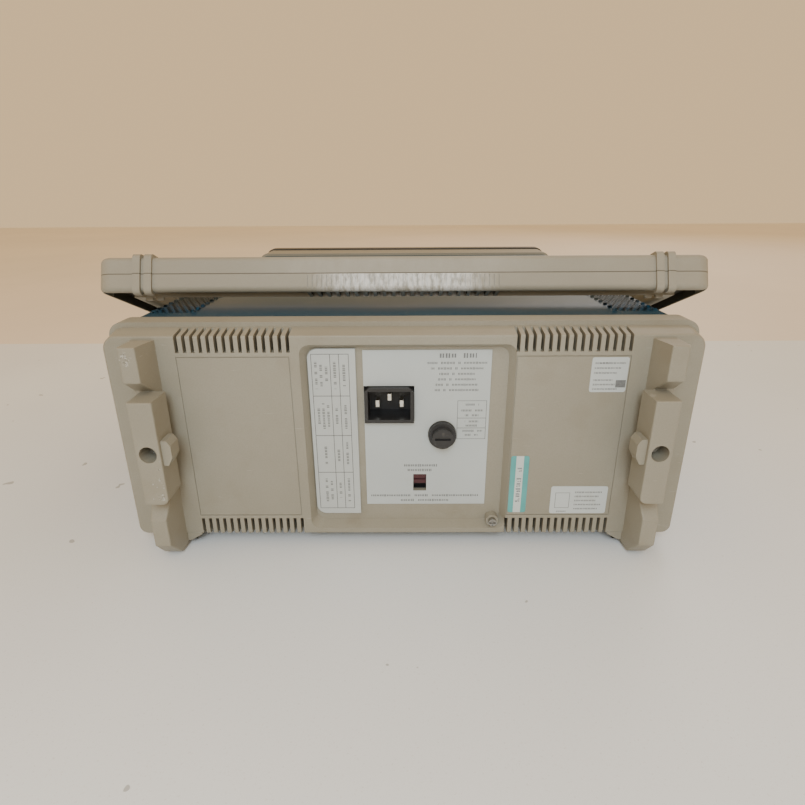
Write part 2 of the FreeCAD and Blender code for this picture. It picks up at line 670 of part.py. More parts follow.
def mains_inlet():
    """A shrouded three-pole inlet that fills its hole, with a flange inside the wall."""
    owner = body("inlet_shell")
    half_x, half_z = "inlet_width / 2", "inlet_height / 2"
    rim = f"({RECESS_FLOOR} + inlet_proud)"
    low = (f"inlet_x - {half_x}", f"{rim} - inlet_depth", f"inlet_z - {half_z}")
    solid(owner, "Additive", "inlet_body", low, (f"inlet_x + {half_x}", rim, f"inlet_z + {half_z}"))
    top = value(f"inlet_z + {half_z}")
    fillet(owner, "inlet_corners", "4", lambda e: runs_along(e, "y") and abs(e.CenterOfMass.z - top) < 0.1)
    low = (f"inlet_x - {half_x} - 4", f"{WALL_INSIDE} - 2", f"inlet_z - {half_z} - 2")
    high = (f"inlet_x + {half_x} + 4", WALL_INSIDE, f"inlet_z + {half_z} + 2")
    solid(owner, "Additive", "inlet_flange", low, high)
    wall = "inlet_wall"
    low = (f"inlet_x - {half_x} + {wall}", f"{rim} - inlet_depth + 3", f"inlet_z - {half_z} + {wall}")
    high = (f"inlet_x + {half_x} - {wall}", f"{rim} + 1", f"inlet_z + {half_z} - {wall}")
    solid(owner, "Subtractive", "inlet_cavity", low, high)
    keep("mains_inlet", owner)
    floor = f"({rim} - inlet_depth + 3)"
    pins = []
    for name, x, z in (("line", "7", "0 - 2"), ("earth", "0", "2"), ("neutral", "0 - 7", "0 - 2")):
        low = (f"inlet_x + {x} - 1", f"{floor} - 7", f"inlet_z + {z} - 2")
        high = (f"inlet_x + {x} + 1", f"{floor} + pin_length", f"inlet_z + {z} + 2")
        pins.append(box(name + "_pin", low, high))
    keep("inlet_pins", group("pin_trio", *pins))


def fuse_parts():
    """A barrel through the recess wall, and the cap that turns a quarter to release the fuse."""
    collar = f"({RECESS_FLOOR} + plate_thickness)"
    x, top = "0 - fuse_x", f"({collar} + 8)"

    def turned(name, start, radius, length):
        return rod(name, "y", (x, start, "fuse_z"), radius, length)

    barrel = turned("fuse_barrel", f"{RECESS_FLOOR} - fuse_length", "fuse_radius", "fuse_length")
    nut = turned("fuse_nut", f"{WALL_INSIDE} - 3.5", "fuse_cap_radius + 1", "3.5")
    bore = turned("fuse_bore", f"{RECESS_FLOOR} - 10", "fuse_radius - fuse_wall", "11")
    keep("fuse_holder", cut("fuse_holder_tube", fuse("fuse_holder_whole", barrel, nut), bore))
    rim = turned("fuse_cap_rim", f"{RECESS_FLOOR} + clearance", "fuse_cap_radius", "3.7")
    crown = turned("fuse_cap_crown", f"{collar} + 2", "fuse_cap_radius - 2", "6")
    radius = "fuse_radius - fuse_wall - running_fit"
    spigot = turned("fuse_cap_spigot", f"{RECESS_FLOOR} - 8", radius, "10")
    low = (f"{x} - 4.5", f"{top} - 1.5", "fuse_z - 0.7")
    slot = box("fuse_cap_slot", low, (f"{x} + 4.5", f"{top} + 1", "fuse_z + 0.7"))
    keep("fuse_cap", cut("fuse_cap_shape", fuse("fuse_cap_whole", rim, crown, spigot), slot))


def selector_parts():
    """A slide switch behind the wall. Its slider covers half of the window."""
    half_x, half_z = "selector_width / 2", "selector_height / 2"
    x = "(0 - selector_x)"
    low = (f"{x} - {half_x} - 4", f"{WALL_INSIDE} - 9", f"selector_z - {half_z} - 4")
    high = (f"{x} + {half_x} + 4", WALL_INSIDE, f"selector_z + {half_z} + 4")
    case = box("selector_case", low, high)
    low = (f"{x} - {half_x}", f"{WALL_INSIDE} - 4", f"selector_z - {half_z}")
    high = (f"{x} + {half_x}", f"{WALL_INSIDE} + 1", f"selector_z + {half_z}")
    keep("voltage_selector_body", cut("selector_shell", case, box("selector_well", low, high)))
    gap = "clearance"
    foot = f"selector_z - {half_z} + selector_travel + {gap}"
    top = f"selector_z + {half_z} - {gap}"
    low = (f"{x} - {half_x} + {gap}", f"{WALL_INSIDE} - 4 + {gap}", foot)
    slider = box("selector_block", low, (f"{x} + {half_x} - {gap}", f"{RECESS_FLOOR} + 0.2", top))
    middle = f"(({foot}) + ({top})) / 2"
    groove_low = (f"{x} - {half_x}", f"{RECESS_FLOOR} - 0.7", f"{middle} - 0.5")
    groove = box("selector_groove", groove_low, (f"{x} + {half_x}", f"{RECESS_FLOOR} + 1", f"{middle} + 0.5"))
    keep("voltage_selector_slider", cut("selector_slider_shape", slider, groove))


# Sleeve, bezel and front


def cabinet_sleeve():
    owner = body("sleeve_wrap")
    low = (f"0 - {SLEEVE_X}", BEZEL_BACK, SLEEVE_LOW)
    solid(owner, "Additive", "sleeve_blank", low, (SLEEVE_X, FRAME_FRONT, SLEEVE_HIGH))
    fillet(owner, "sleeve_corners", "top_radius - sleeve_inset", lambda e: runs_along(e, "y"))
    sheet = "sheet_thickness"
    low = (f"0 - {SLEEVE_X} + {sheet}", f"{BEZEL_BACK} - 1", f"{SLEEVE_LOW} + {sheet}")
    high = (f"{SLEEVE_X} - {sheet}", f"{FRAME_FRONT} + 1", f"{SLEEVE_HIGH} - {sheet}")
    hollow = body("sleeve_core")
    solid(hollow, "Additive", "core_blank", low, high)
    radius = "top_radius - sleeve_inset - sheet_thickness"
    fillet(hollow, "core_corners", radius, lambda e: runs_along(e, "y"))
    low = (f"{SLEEVE_X} - 9", "bay_front", "bay_low")
    bay = box("sleeve_bay_hole", low, (f"{SLEEVE_X} + 2", "bay_rear", "bay_high"))
    start = (f"0 - {SLEEVE_X} - 1", "pivot_y", "pivot_z")
    pivots = rod("sleeve_pivot_holes", "x", start, "hub_shaft_radius", f"2 * {SLEEVE_X} + 2")
    keep("cabinet_sleeve", cut("sleeve", owner, hollow, bay, pivots))


def rounded_block(name, half_x, low_z, high_z, start, end, top, bottom):
    """A block, centred across, whose edges along Y have one radius at the top and one at the bottom."""
    owner = body(name)
    solid(owner, "Additive", name + "_blank", (f"0 - ({half_x})", start, low_z), (half_x, end, high_z))
    middle = value(f"(({low_z}) + ({high_z})) / 2")

    def upper(edge):
        return runs_along(edge, "y") and edge.CenterOfMass.z > middle

    def lower(edge):
        return runs_along(edge, "y") and edge.CenterOfMass.z < middle

    fillet(owner, name + "_top", top, upper)
    fillet(owner, name + "_bottom", bottom, lower)
    return owner


def front_frame():
    """The bezel, and the dark ring that fits in a step cut around its front edge."""
    start, trim_end = f"({FRONT} + 1)", f"({FRONT} + trim_depth)"
    lap = "trim_lap"
    outer = rounded_block("bezel_outer", CASE_X, BASE, TOP, start, BEZEL_BACK, "top_radius", "bottom_radius")
    panel_low, panel_high = f"{BASE} + bezel_wall", f"{TOP} - bezel_wall"
    sides = (f"{CASE_X} - bezel_wall", panel_low, panel_high)
    ends = (FRONT, f"{BEZEL_BACK} + 1")
    opening = rounded_block("bezel_opening", *sides, *ends, "panel_radius", "panel_radius")
    low = (f"0 - {CASE_X} + case_wall", f"{PANEL_BACK} + 2", f"{BASE} + case_wall")
    hollow = box("bezel_hollow", low, (f"{CASE_X} - case_wall", f"{BEZEL_BACK} + 1", f"{TOP} - case_wall"))
    low = (f"0 - {CASE_X} - 2", f"{FRONT} - 1", f"{BASE} - 2")
    seat = box("trim_seat", low, (f"{CASE_X} + 2", trim_end, f"{TOP} + 2"))
    lapped = (f"{CASE_X} - {lap}", f"{BASE} + {lap}", f"{TOP} - {lap}", f"{FRONT} - 2", f"{trim_end} + 1")
    radii = (f"top_radius - {lap}", f"bottom_radius - {lap}")
    step = cut("trim_step", seat, rounded_block("trim_core", *lapped, *radii))
    keep("front_bezel", cut("bezel_ring", outer, opening, hollow, step))
    proud = "trim_proud"
    sides = (f"{CASE_X} + {proud}", f"{BASE} - {proud}", f"{TOP} + {proud}", FRONT, trim_end)
    ring = rounded_block("trim_outer", *sides, f"top_radius + {proud}", f"bottom_radius + {proud}")
    front = value(FRONT)
    fillet(ring, "trim_front_edge", "1.2", lambda e: e.BoundBox.YMax < front + 0.01)
    keep("front_trim", cut("trim_ring", ring, rounded_block("trim_hole", *lapped, *radii)))


def panel_keys():
    """Each key's name and middle: a square of sixteen hexadecimal keys, and four cursor keys in a cross."""
    keys = []
    for index, digit in enumerate("cdef89ab45670123"):
        x = f"(key_first_x + {index % 4} * key_pitch_x)"
        z = f"(key_first_z - {index // 4} * key_pitch_z)"
        keys.append((f"key_{digit}", x, z))
    for name, across, up in (("up", 0, 1), ("down", 0, -1), ("left", -1, 0), ("right", 1, 0)):
        x = f"(cursor_x + {across} * key_pitch_x)"
        keys.append((f"key_{name}", x, f"(cursor_z + {up} * key_pitch_z)"))
    return keys


def control_panel(keys):
    edge = f"({CASE_X} - bezel_wall)"
    plate = body("panel_blank")
    low = (f"0 - {edge}", PANEL_FACE, f"{BASE} + bezel_wall")
    solid(plate, "Additive", "panel_sheet", low, (edge, PANEL_BACK, f"{TOP} - bezel_wall"))
    fillet(plate, "panel_corners", "panel_radius", lambda e: runs_along(e, "y"))
    tools = []
    start, end = f"{PANEL_FACE} - 1", f"{PANEL_BACK} + 1"
    for name, x, z in keys:
        half_x, half_z = "(key_width / 2 + clearance)", "(key_height / 2 + clearance)"
        low = (f"{x} - {half_x}", start, f"{z} - {half_z}")
        tools.append(box(name + "_hole", low, (f"{x} + {half_x}", end, f"{z} + {half_z}")))
    window = body("screen_window")
    half_x, half_z = "screen_width / 2", "screen_height / 2"
    low = (f"0 - screen_x - {half_x}", start, f"screen_z - {half_z}")
    solid(window, "Additive", "window_blank", low, (f"0 - screen_x + {half_x}", end, f"screen_z + {half_z}"))
    fillet(window, "window_corners", "screen_radius", lambda e: runs_along(e, "y"))
    tools.append(window)
    half = "(power_width / 2 + clearance)"
    low = (f"0 - power_x - {half}", start, f"power_z - {half}")
    tools.append(box("power_hole", low, (f"0 - power_x + {half}", end, f"power_z + {half}")))
    bush = ("0 - knob_x", start, "knob_z")
    tools.append(rod("knob_hole", "y", bush, "knob_shaft_radius + 1", "panel_thickness + 2"))
    keep("control_panel", cut("panel_plate", plate, *tools))


def screen_parts():
    """Tinted filter, picture tube, its deflection yoke and the bracket that carries the tube."""
    half_x, half_z = "(screen_width / 2)", "(screen_height / 2)"
    x = "(0 - screen_x)"
    grow = 3
    low = (f"{x} - {half_x} - {grow}", PANEL_BACK, f"screen_z - {half_z} - {grow}")
    high = (f"{x} + {half_x} + {grow}", f"{PANEL_BACK} + filter_thickness", f"screen_z + {half_z} + {grow}")
    keep("screen_filter", box("filter_sheet", low, high))
    face = TUBE_FACE
    owner = body("tube_glass")
    near = (f"{x} - {half_x}", f"{x} + {half_x}", f"screen_z - {half_z}", f"screen_z + {half_z}")
    solid(owner, "Additive", "tube_face", (near[0], face, near[2]), (near[1], f"{face} + 12", near[3]))
    throat = "neck_radius"
    far = (f"{x} - {throat}", f"{x} + {throat}", f"screen_z - {throat}", f"screen_z + {throat}")
    tapered(owner, "Additive", "tube_funnel", near, far, f"{face} + 12", f"{face} + 100")
    start = (x, f"{face} + 99", "screen_z")
    round_solid(owner, "Additive", "tube_neck", "y", start, "neck_radius", "tube_length - 99")
    front = value(face)
    fillet(owner, "tube_edges", "3", lambda e: runs_along(e, "y") and e.BoundBox.YMin < front + 1)
    keep("crt_tube", owner)
    start = (x, f"{face} + 101", "screen_z")
    ferrite = rod("yoke_ferrite", "y", start, "yoke_radius", "yoke_length")
    hole = (x, f"{face} + 100", "screen_z")
    bore = rod("yoke_hole", "y", hole, "neck_radius", "yoke_length + 2")
    keep("deflection_yoke", cut("yoke_ring", ferrite, bore))
    start = BRACKET
    low = (f"{x} - 40", start, TRAY_TOP)
    wall = box("bracket_wall", low, (f"{x} + 40", f"{start} + 2", "screen_z + 24"))
    low = (f"{x} - 40", start, TRAY_TOP)
    sole = box("bracket_sole", low, (f"{x} + 40", f"{start} + 18", f"{TRAY_TOP} + 2"))
    hole = rod("bracket_hole", "y", (x, f"{start} - 1", "screen_z"), "neck_radius", "4")
    keep("crt_bracket", cut("bracket", fuse("bracket_whole", wall, sole), hole))


def key(name, x, z):
    """A cap with a rounded crown and a stem that reaches the switch board."""
    owner = body(name + "_cap")
    half_x, half_z = "key_width / 2", "key_height / 2"
    low = (f"{x} - {half_x}", f"{PANEL_FACE} - key_proud", f"{z} - {half_z}")
    high = (f"{x} + {half_x}", f"{PANEL_BACK} + 0.5", f"{z} + {half_z}")
    solid(owner, "Additive", name + "_block", low, high)
    back = value(f"{PANEL_BACK} + 0.4")
    fillet(owner, name + "_crown", "1", lambda e: e.BoundBox.YMin < back and e.BoundBox.YMax < back + 0.2)
    half = "stem_width / 2"
    low = (f"{x} - {half}", f"{PANEL_BACK} + 0.4", f"{z} - {half}")
    high = (f"{x} + {half}", f"{PANEL_BACK} + stem_length", f"{z} + {half}")
    solid(owner, "Additive", name + "_stem", low, high)
    keep(name, owner)


def key_board():
    """The switch board behind the keys, further back than a pressed key's stem."""
    level = f"({PANEL_BACK} + stem_length + key_travel + clearance)"
    low = ("key_first_x - key_pitch_x / 2 - 4", level, f"{BASE} + bezel_wall + 4")
    high = (f"{CASE_X} - bezel_wall - 3", f"{level} + board_thickness", f"{TOP} - bezel_wall - 4")
    board = box("switch_board", low, high)
    posts = []
    for name, x in (("near", "key_first_x - 8"), ("far", f"{CASE_X} - bezel_wall - 8")):
        for height, z in (("low", f"{BASE} + bezel_wall + 8"), ("high", f"{TOP} - bezel_wall - 8")):
            start = (x, PANEL_BACK, z)
            posts.append(rod(f"{name}_{height}_post", "y", start, "2.5", f"{level} - {PANEL_BACK}"))
    keep("key_board", fuse("key_board_whole", board, *posts))


def power_parts():
    half = "power_width / 2"
    x = "(0 - power_x)"
    low = (f"{x} - {half}", f"{PANEL_FACE} - 5", f"power_z - {half}")
    owner = body("power_cap")
    high = (f"{x} + {half}", f"{PANEL_BACK} + 0.5", f"power_z + {half}")
    solid(owner, "Additive", "power_block", low, high)
    back = value(f"{PANEL_BACK} + 0.4")
    fillet(owner, "power_crown", "1.2", lambda e: e.BoundBox.YMin < back and e.BoundBox.YMax < back + 0.2)
    start = (x, PANEL_BACK, "power_z")
    round_solid(owner, "Additive", "power_stem", "y", start, "2.5", "12")
    keep("power_button", owner)
    seat = f"({PANEL_BACK} + 12 + power_travel + clearance)"
    low = (f"{x} - 8", seat, "power_z - 8")
    switch = box("switch_case", low, (f"{x} + 8", f"{seat} + 26", "power_z + 8"))
    low = (f"{x} - 8", PANEL_BACK, "power_z - 9")
    shelf = box("switch_shelf", low, (f"{x} + 8", f"{seat} + 26", "power_z - 8"))
    keep("power_switch", fuse("switch_whole", switch, shelf))


def knob_parts():
    """A fluted knob on the shaft of the intensity control."""
    x = "(0 - knob_x)"
    front = f"({PANEL_FACE} - clearance - knob_length)"
    skirt = rod("knob_skirt", "y", (x, f"{front} + knob_length - 1.6", "knob_z"), "knob_radius", "1.6")
    grip = rod("knob_grip", "y", (x, front, "knob_z"), "knob_radius - 1", "knob_length")
    low = (f"{x} - 0.5", f"{front} - 1", "knob_z + 2")
    mark = box("knob_mark", low, (f"{x} + 0.5", f"{front} + 0.6", "knob_z + 7"))
    start, radius = (x, f"{front} + 2", "knob_z"), "knob_shaft_radius - running_fit"
    spindle = rod("knob_spindle", "y", start, radius, "knob_length + 16")
    keep("intensity_knob", cut("knob_shape", fuse("knob_whole", skirt, grip, spindle), mark))
    start = (x, f"{PANEL_BACK} - panel_thickness + 0.2", "knob_z")
    bush = rod("control_bush", "y", start, "knob_shaft_radius + 1", "panel_thickness + 3")
    case = rod("control_case", "y", (x, PANEL_BACK, "knob_z"), "6", "8")
    bore = rod("control_bore", "y", (x, f"{PANEL_FACE} - 1", "knob_z"), "knob_shaft_radius", "40")
    keep("intensity_control", cut("control", fuse("control_whole", bush, case), bore))


# Side bay with the pod connectors


def pod_places():
    """Lower corners, along Y and Z, of four connectors in two rows."""
    spare_y = "((bay_rear - bay_front - 2 * pod_length) / 3)"
    spare_z = "((bay_high - bay_low - 2 * pod_height) / 3)"
    places = []
    for column in (0, 1):
        for row in (0, 1):
            y = f"(bay_front + {spare_y} + {column} * (pod_length + {spare_y}))"
            places.append((y, f"(bay_low + {spare_z} + {row} * (pod_height + {spare_z}))"))
    return places


def pod_bay():
    sheet = "sheet_thickness"
    low = (f"{BAY_FLOOR} - {sheet}", f"bay_front - {sheet}", f"bay_low - {sheet}")
    high = (f"{SLEEVE_X} - {sheet}", f"bay_rear + {sheet}", f"bay_high + {sheet}")
    tray = box("bay_blank", low, high)
    well = box("bay_well", (BAY_FLOOR, "bay_front", "bay_low"), (f"{SLEEVE_X} + 1", "bay_rear", "bay_high"))
    holes, pods = [], []
    for index, (y, z) in enumerate(pod_places(), start=1):
        low = (f"{BAY_FLOOR} + pod_proud - pod_socket - 4", y, z)
        high = (f"{BAY_FLOOR} + pod_proud", f"{y} + pod_length", f"{z} + pod_height")
        holes.append(box(f"pod_hole_{index}", low, high))
        shroud = box(f"pod_shroud_{index}", low, high)
        inner_low = (f"{BAY_FLOOR} + pod_proud - pod_socket", f"{y} + pod_wall", f"{z} + pod_wall")
        inner_y, inner_z = f"{y} + pod_length - pod_wall", f"{z} + pod_height - pod_wall"
        socket = box(f"pod_socket_{index}", inner_low, (f"{BAY_FLOOR} + pod_proud + 1", inner_y, inner_z))
        pods.append(cut(f"pod_{index}", shroud, socket))
    keep("pod_panel", cut("bay", tray, well, *holes))
    keep("pod_connectors", group("pod_row", *pods))


# Inside the case


def inside():
    inner_x = f"({SLEEVE_X} - sheet_thickness - 6)"
    start, end = f"({BEZEL_BACK} - 30)", f"({FRAME_FRONT} + 4)"
    floor = box("tray_floor", (f"0 - {inner_x}", start, TRAY_LOW), (inner_x, end, TRAY_TOP))
    low = (f"0 - {inner_x}", start, TRAY_LOW)
    high = (f"0 - {inner_x} + sheet_thickness", end, f"{TRAY_LOW} + tray_side")
    left = box("tray_left", low, high)
    low = (f"{inner_x} - sheet_thickness", start, TRAY_LOW)
    right = box("tray_right", low, (inner_x, end, f"{TRAY_LOW} + 8"))
    runners = []
    for name, x in (("left", "0 - 100"), ("right", "100")):
        low = (f"{x} - 6", BEZEL_BACK, f"{SLEEVE_LOW} + sheet_thickness")
        runners.append(box(name + "_runner", low, (f"{x} + 6", FRAME_FRONT, TRAY_LOW)))
    keep("chassis", fuse("tray", floor, left, right, *runners))
    half = "board_width / 2"
    front = f"({FRAME_FRONT} - supply_depth - 8 - board_length)"
    rear = f"({front} + board_length)"
    low = (f"0 - {half} - 1", f"{front} - 1", f"{BOARD_LOW} - 1")
    cut_out = box("tube_gap", low, ("0 - 36", f"{BRACKET} + 22", f"{BOARD_TOP} + 1"))
    board = box("main_sheet", (f"0 - {half}", front, BOARD_LOW), (half, rear, BOARD_TOP))
    keep("main_board", cut("main_board_shape", board, cut_out))
    low_posts, high_posts = [], []
    for name, x in (("left", "0 - 24"), ("right", f"{half} - 8")):
        for place, y in (("front", f"{front} + 8"), ("rear", f"{rear} - 8")):
            post = (x, y, TRAY_TOP)
            low_posts.append(rod(f"{name}_{place}_low_post", "z", post, "3.5", "post_height"))
            high_posts.append(rod(f"{name}_{place}_high_post", "z", (x, y, BOARD_TOP), "3.5", "stack_gap"))
    keep("board_posts", group("posts", *low_posts, *high_posts))
    level = f"({BOARD_TOP} + stack_gap)"
    low = ("0 - 32", front, level)
    keep("acquisition_board", box("second_sheet", low, (half, rear, f"{level} + board_thickness")))
    supply(rear)


def supply(front):
    start = f"({front} + 4)"
    end = f"({start} + supply_depth)"
    low = ("0 - 150", start, BOARD_LOW)
    board = box("supply_sheet", low, ("128", end, BOARD_TOP))
    posts = []
    for name, x in (("left", "0 - 142"), ("right", "120")):
        for place, y in (("front", f"{start} + 8"), ("rear", f"{end} - 8")):
            posts.append(rod(f"supply_{name}_{place}_post", "z", (x, y, TRAY_TOP), "3.5", "post_height"))
    keep("power_supply_board", fuse("supply_board_whole", board, *posts))
    low, high = ("0 - 110", f"{start} + 16", BOARD_TOP), ("0 - 62", f"{start} + 56", f"{BOARD_TOP} + 40")
    core = box("transformer_core", low, high)
    low = ("0 - 116", f"{start} + 22", f"{BOARD_TOP} + 7")
    coil = box("transformer_coil", low, ("0 - 56", f"{start} + 50", f"{BOARD_TOP} + 33"))
    keep("mains_transformer", fuse("transformer", core, coil))
    low = ("40", f"{start} + 12", BOARD_TOP)
    owner = body("sink_body")
    solid(owner, "Additive", "sink_base", low, ("112", f"{start} + 60", f"{BOARD_TOP} + 5"))
    fin_low = ("40", f"{start} + 12", f"{BOARD_TOP} + 4")
    fin = solid(owner, "Additive", "sink_fin", fin_low, ("42.4", f"{start} + 60", f"{BOARD_TOP} + 32"))
    spread(owner, fin, "X", "8", "69.6")
    keep("heat_sink", owner)


def rubber_feet():
    feet = []
    rear = ("rear", f"{REAR} - foot_length - foot_setback")
    front = ("front", f"{BEZEL_BACK} - bezel_depth / 2")
    for name, side in (("left", -1), ("right", 1)):
        for place, y in (rear, front):
            owner = body(f"{name}_{place}_foot")
            low = (f"{side} * foot_x - foot_width / 2", y, "0")
            high = (f"{side} * foot_x + foot_width / 2", f"{y} + foot_length", BASE)
            solid(owner, "Additive", f"{name}_{place}_pad", low, high)
            top = value(BASE)
            fillet(owner, f"{name}_{place}_round", "2", lambda e: e.BoundBox.ZMax < top - 0.5)
            feet.append(owner)
    keep("rubber_feet", group("foot_set", *feet))


# Handle, in its own plane: the arms run along +Y from the pivot, and X is across


def place_handle(thing):
    slope = FreeCAD.Rotation(FreeCAD.Vector(1, 0, 0), size("handle_slope"))
    thing.Placement = FreeCAD.Placement(FreeCAD.Vector(), slope)
    bind(thing, {"Placement.Rotation.Angle": "handle_slope", **base("0", "pivot_y", "pivot_z")})
    return thing


def handle_blank():
    owner = body("handle_blank")
    outer = HANDLE_HALF
    outline = [
        (f"0 - {outer}", "0"),
        (f"0 - {outer}", "handle_reach"),
        (outer, "handle_reach"),
        (outer, "0"),
        (ARM_INNER, "0"),
        (ARM_INNER, "handle_reach - grip_depth"),
        (f"0 - {ARM_INNER}", "handle_reach - grip_depth"),
        (f"0 - {ARM_INNER}", "0"),
    ]
    pad(owner, "handle_bow", "XY", "0 - shell_thickness", outline, "2 * shell_thickness")
    reach, inner = value("handle_reach"), value("handle_reach - grip_depth")

    def bow_corner(edge, y):
        return runs_along(edge, "z") and abs(edge.CenterOfMass.y - y) < 0.1

    fillet(owner, "handle_outer_corners", "handle_corner", lambda e: bow_corner(e, reach))
    fillet(owner, "handle_inner_corners", "handle_corner + 3", lambda e: bow_corner(e, inner))

    def long_edge(edge):
        face = abs(abs(edge.CenterOfMass.z) - value("shell_thickness")) < 0.1
        return face and edge.BoundBox.YMax > 1 and edge.Length > 5

    fillet(owner, "handle_rounds", "handle_round", long_edge)
    for side, name in ((1, "right"), (-1, "left")):
        start, end = side_range(side, ARM_INNER, outer)
        centre = (start, "0", "0")
        round_solid(owner, "Additive", f"{name}_end", "x", centre, "pivot_boss_radius", "arm_width")
    for side, name in ((1, "right"), (-1, "left")):
        for which in ("outer", "inner"):
            middle = f"{side} * band_{which}_x"
            half = "(shell_thickness + band_proud)"
            low = (f"{middle} - band_width / 2", "handle_reach - grip_depth + 1", f"0 - {half}")
            high = (f"{middle} + band_width / 2", "handle_reach + band_proud", half)
            solid(owner, "Additive", f"{name}_{which}_band", low, high)
        start, end = side_range(side, f"{outer} - 1", f"{outer} + ridge_proud")
        low = (start, "pivot_boss_radius + 2", "0 - ridge_half")
        high = (end, "handle_reach - handle_corner - 1", "ridge_half")
        solid(owner, "Additive", f"{name}_ridge", low, high)
    reach_band = value("handle_reach + band_proud")
    thick = value("shell_thickness + band_proud")

    def band_edge(edge):
        across = runs_along(edge, "x") and edge.CenterOfMass.y > reach_band - 0.1
        return across and abs(abs(edge.CenterOfMass.z) - thick) < 0.1

    fillet(owner, "band_rounds", "3", band_edge)
    start = (f"0 - {outer} - 1", "0", "0")
    radius = "hub_shaft_radius + running_fit"
    round_solid(owner, "Subtractive", "pivot_bore", "x", start, radius, f"2 * {HANDLE_HALF} + 2")
    return owner


def handle_channel(side_low, side_high, y_low, y_high, name):
    """The hollow moulded into the underside of the lower shell."""
    bottom = "(0 - shell_thickness)"
    return box(name, (side_low, y_low, f"{bottom} - 5"), (side_high, y_high, f"{bottom} + channel_depth"))


def handle():
    blank = handle_blank()
    big = f"({HANDLE_HALF} + 10)"
    below_low = (f"0 - {big}", "0 - 40", "0 - 40")
    below = box("below_parting", below_low, (big, "handle_reach + 20", "0"))
    above = box("above_parting", (f"0 - {big}", "0 - 40", "0"), (big, "handle_reach + 20", "40"))
    keep("handle_upper_shell", place_handle(cut("upper_shell", blank, below)))
    wall = "channel_wall"
    outer = HANDLE_HALF
    grip_low, grip_high = f"handle_reach - grip_depth + {wall}", f"handle_reach - {wall}"
    channels = []
    for side, name in ((1, "right"), (-1, "left")):
        low, high = side_range(side, f"{ARM_INNER} + {wall}", f"{outer} - {wall}")
        channels.append(handle_channel(low, high, "pivot_boss_radius + 4", grip_high, f"{name}_arm_channel"))
        low, high = side_range(side, "(rib_count * rib_pitch + rib_width) / 2", f"{ARM_INNER} + {wall} + 1")
        channels.append(handle_channel(low, high, grip_low, grip_high, f"{name}_grip_channel"))
    cuts = (rib_pockets(grip_low, grip_high), grip_lines())
    lower = cut("lower_shell", blank, above, *cuts, *channels)
    keep("handle_lower_shell", place_handle(lower))


def rib_pockets(y_low, y_high):
    """The hollow under the grip's middle, in pockets with ribs left between them."""
    owner = body("rib_pockets")
    first = "(0 - rib_count * rib_pitch / 2 + rib_width / 2)"
    bottom = "(0 - shell_thickness)"
    low = (first, y_low, f"{bottom} - 5")
    high = (f"{first} + rib_pitch - rib_width", y_high, f"{bottom} + channel_depth")
    pocket = solid(owner, "Additive", "rib_pocket", low, high)
    spread(owner, pocket, "X", "rib_count", "rib_pitch * (rib_count - 1)")
    return owner


def grip_lines():
    """Fine grooves down the outer face of the ribbed grip, two to each rib."""
    owner = body("grip_lines")
    first = "(0 - rib_count * rib_pitch / 2)"
    low = (f"{first} - grip_line / 2", "handle_reach - grip_line", "0 - shell_thickness - 1")
    high = (f"{first} + grip_line / 2", "handle_reach + 3", "0 - 1.2")
    line = solid(owner, "Additive", "grip_line", low, high)
    spread(owner, line, "X", "2 * rib_count + 1", "rib_pitch * rib_count")
    return owner


def handle_hubs():
    """Discs fixed to the case's sides, with shafts that the handle's ends turn on."""
    for side, name in ((1, "right"), (-1, "left")):
        low, high = side_range(side, SLEEVE_X, f"{ARM_INNER} - clearance")
        disc = rod(f"{name}_hub_disc", "x", (low, "pivot_y", "pivot_z"), "hub_radius", f"({high}) - ({low})")
        low, high = side_range(side, f"{SLEEVE_X} - sheet_thickness - 3", f"{HANDLE_HALF} - 0.5")
        start = (low, "pivot_y", "pivot_z")
        shaft = rod(f"{name}_hub_shaft", "x", start, "hub_shaft_radius", f"({high}) - ({low})")
        keep(f"handle_hub_{name}", fuse(f"{name}_hub", disc, shaft))


# The build


def build():
    rear_panel()
    cord_wrap_foot(1, "cord_wrap_foot_right")
    cord_wrap_foot(-1, "cord_wrap_foot_left")
    case_screws()
    recess_plates()
    stickers()
    mains_inlet()
    fuse_parts()
    selector_parts()
    cabinet_sleeve()
    front_frame()
    keys = panel_keys()
    control_panel(keys)
    screen_parts()
    for name, x, z in keys:
        key(name, x, z)
    key_board()
    power_parts()
    knob_parts()
    pod_bay()
    inside()
    rubber_feet()
    handle()
    handle_hubs()


def check():
    """Stop if any feature failed or any sub-part has no valid solid."""
    for thing in DOC.Objects:
        if {"Invalid", "Error"} & set(thing.State):
            raise RuntimeError(f"{thing.Name} ({thing.Label}) failed: {thing.State}")
    for thing in PARTS:
        shape = thing.Shape
        if shape.isNull() or not shape.isValid() or not shape.Solids:
            raise RuntimeError(thing.Label + " has no valid solid")


def write():
    os.makedirs("parts", exist_ok=True)
    for thing in PARTS:
        thing.Shape.exportStep(f"parts/{thing.Label}.step")


build()
DOC.recompute()
check()
write()
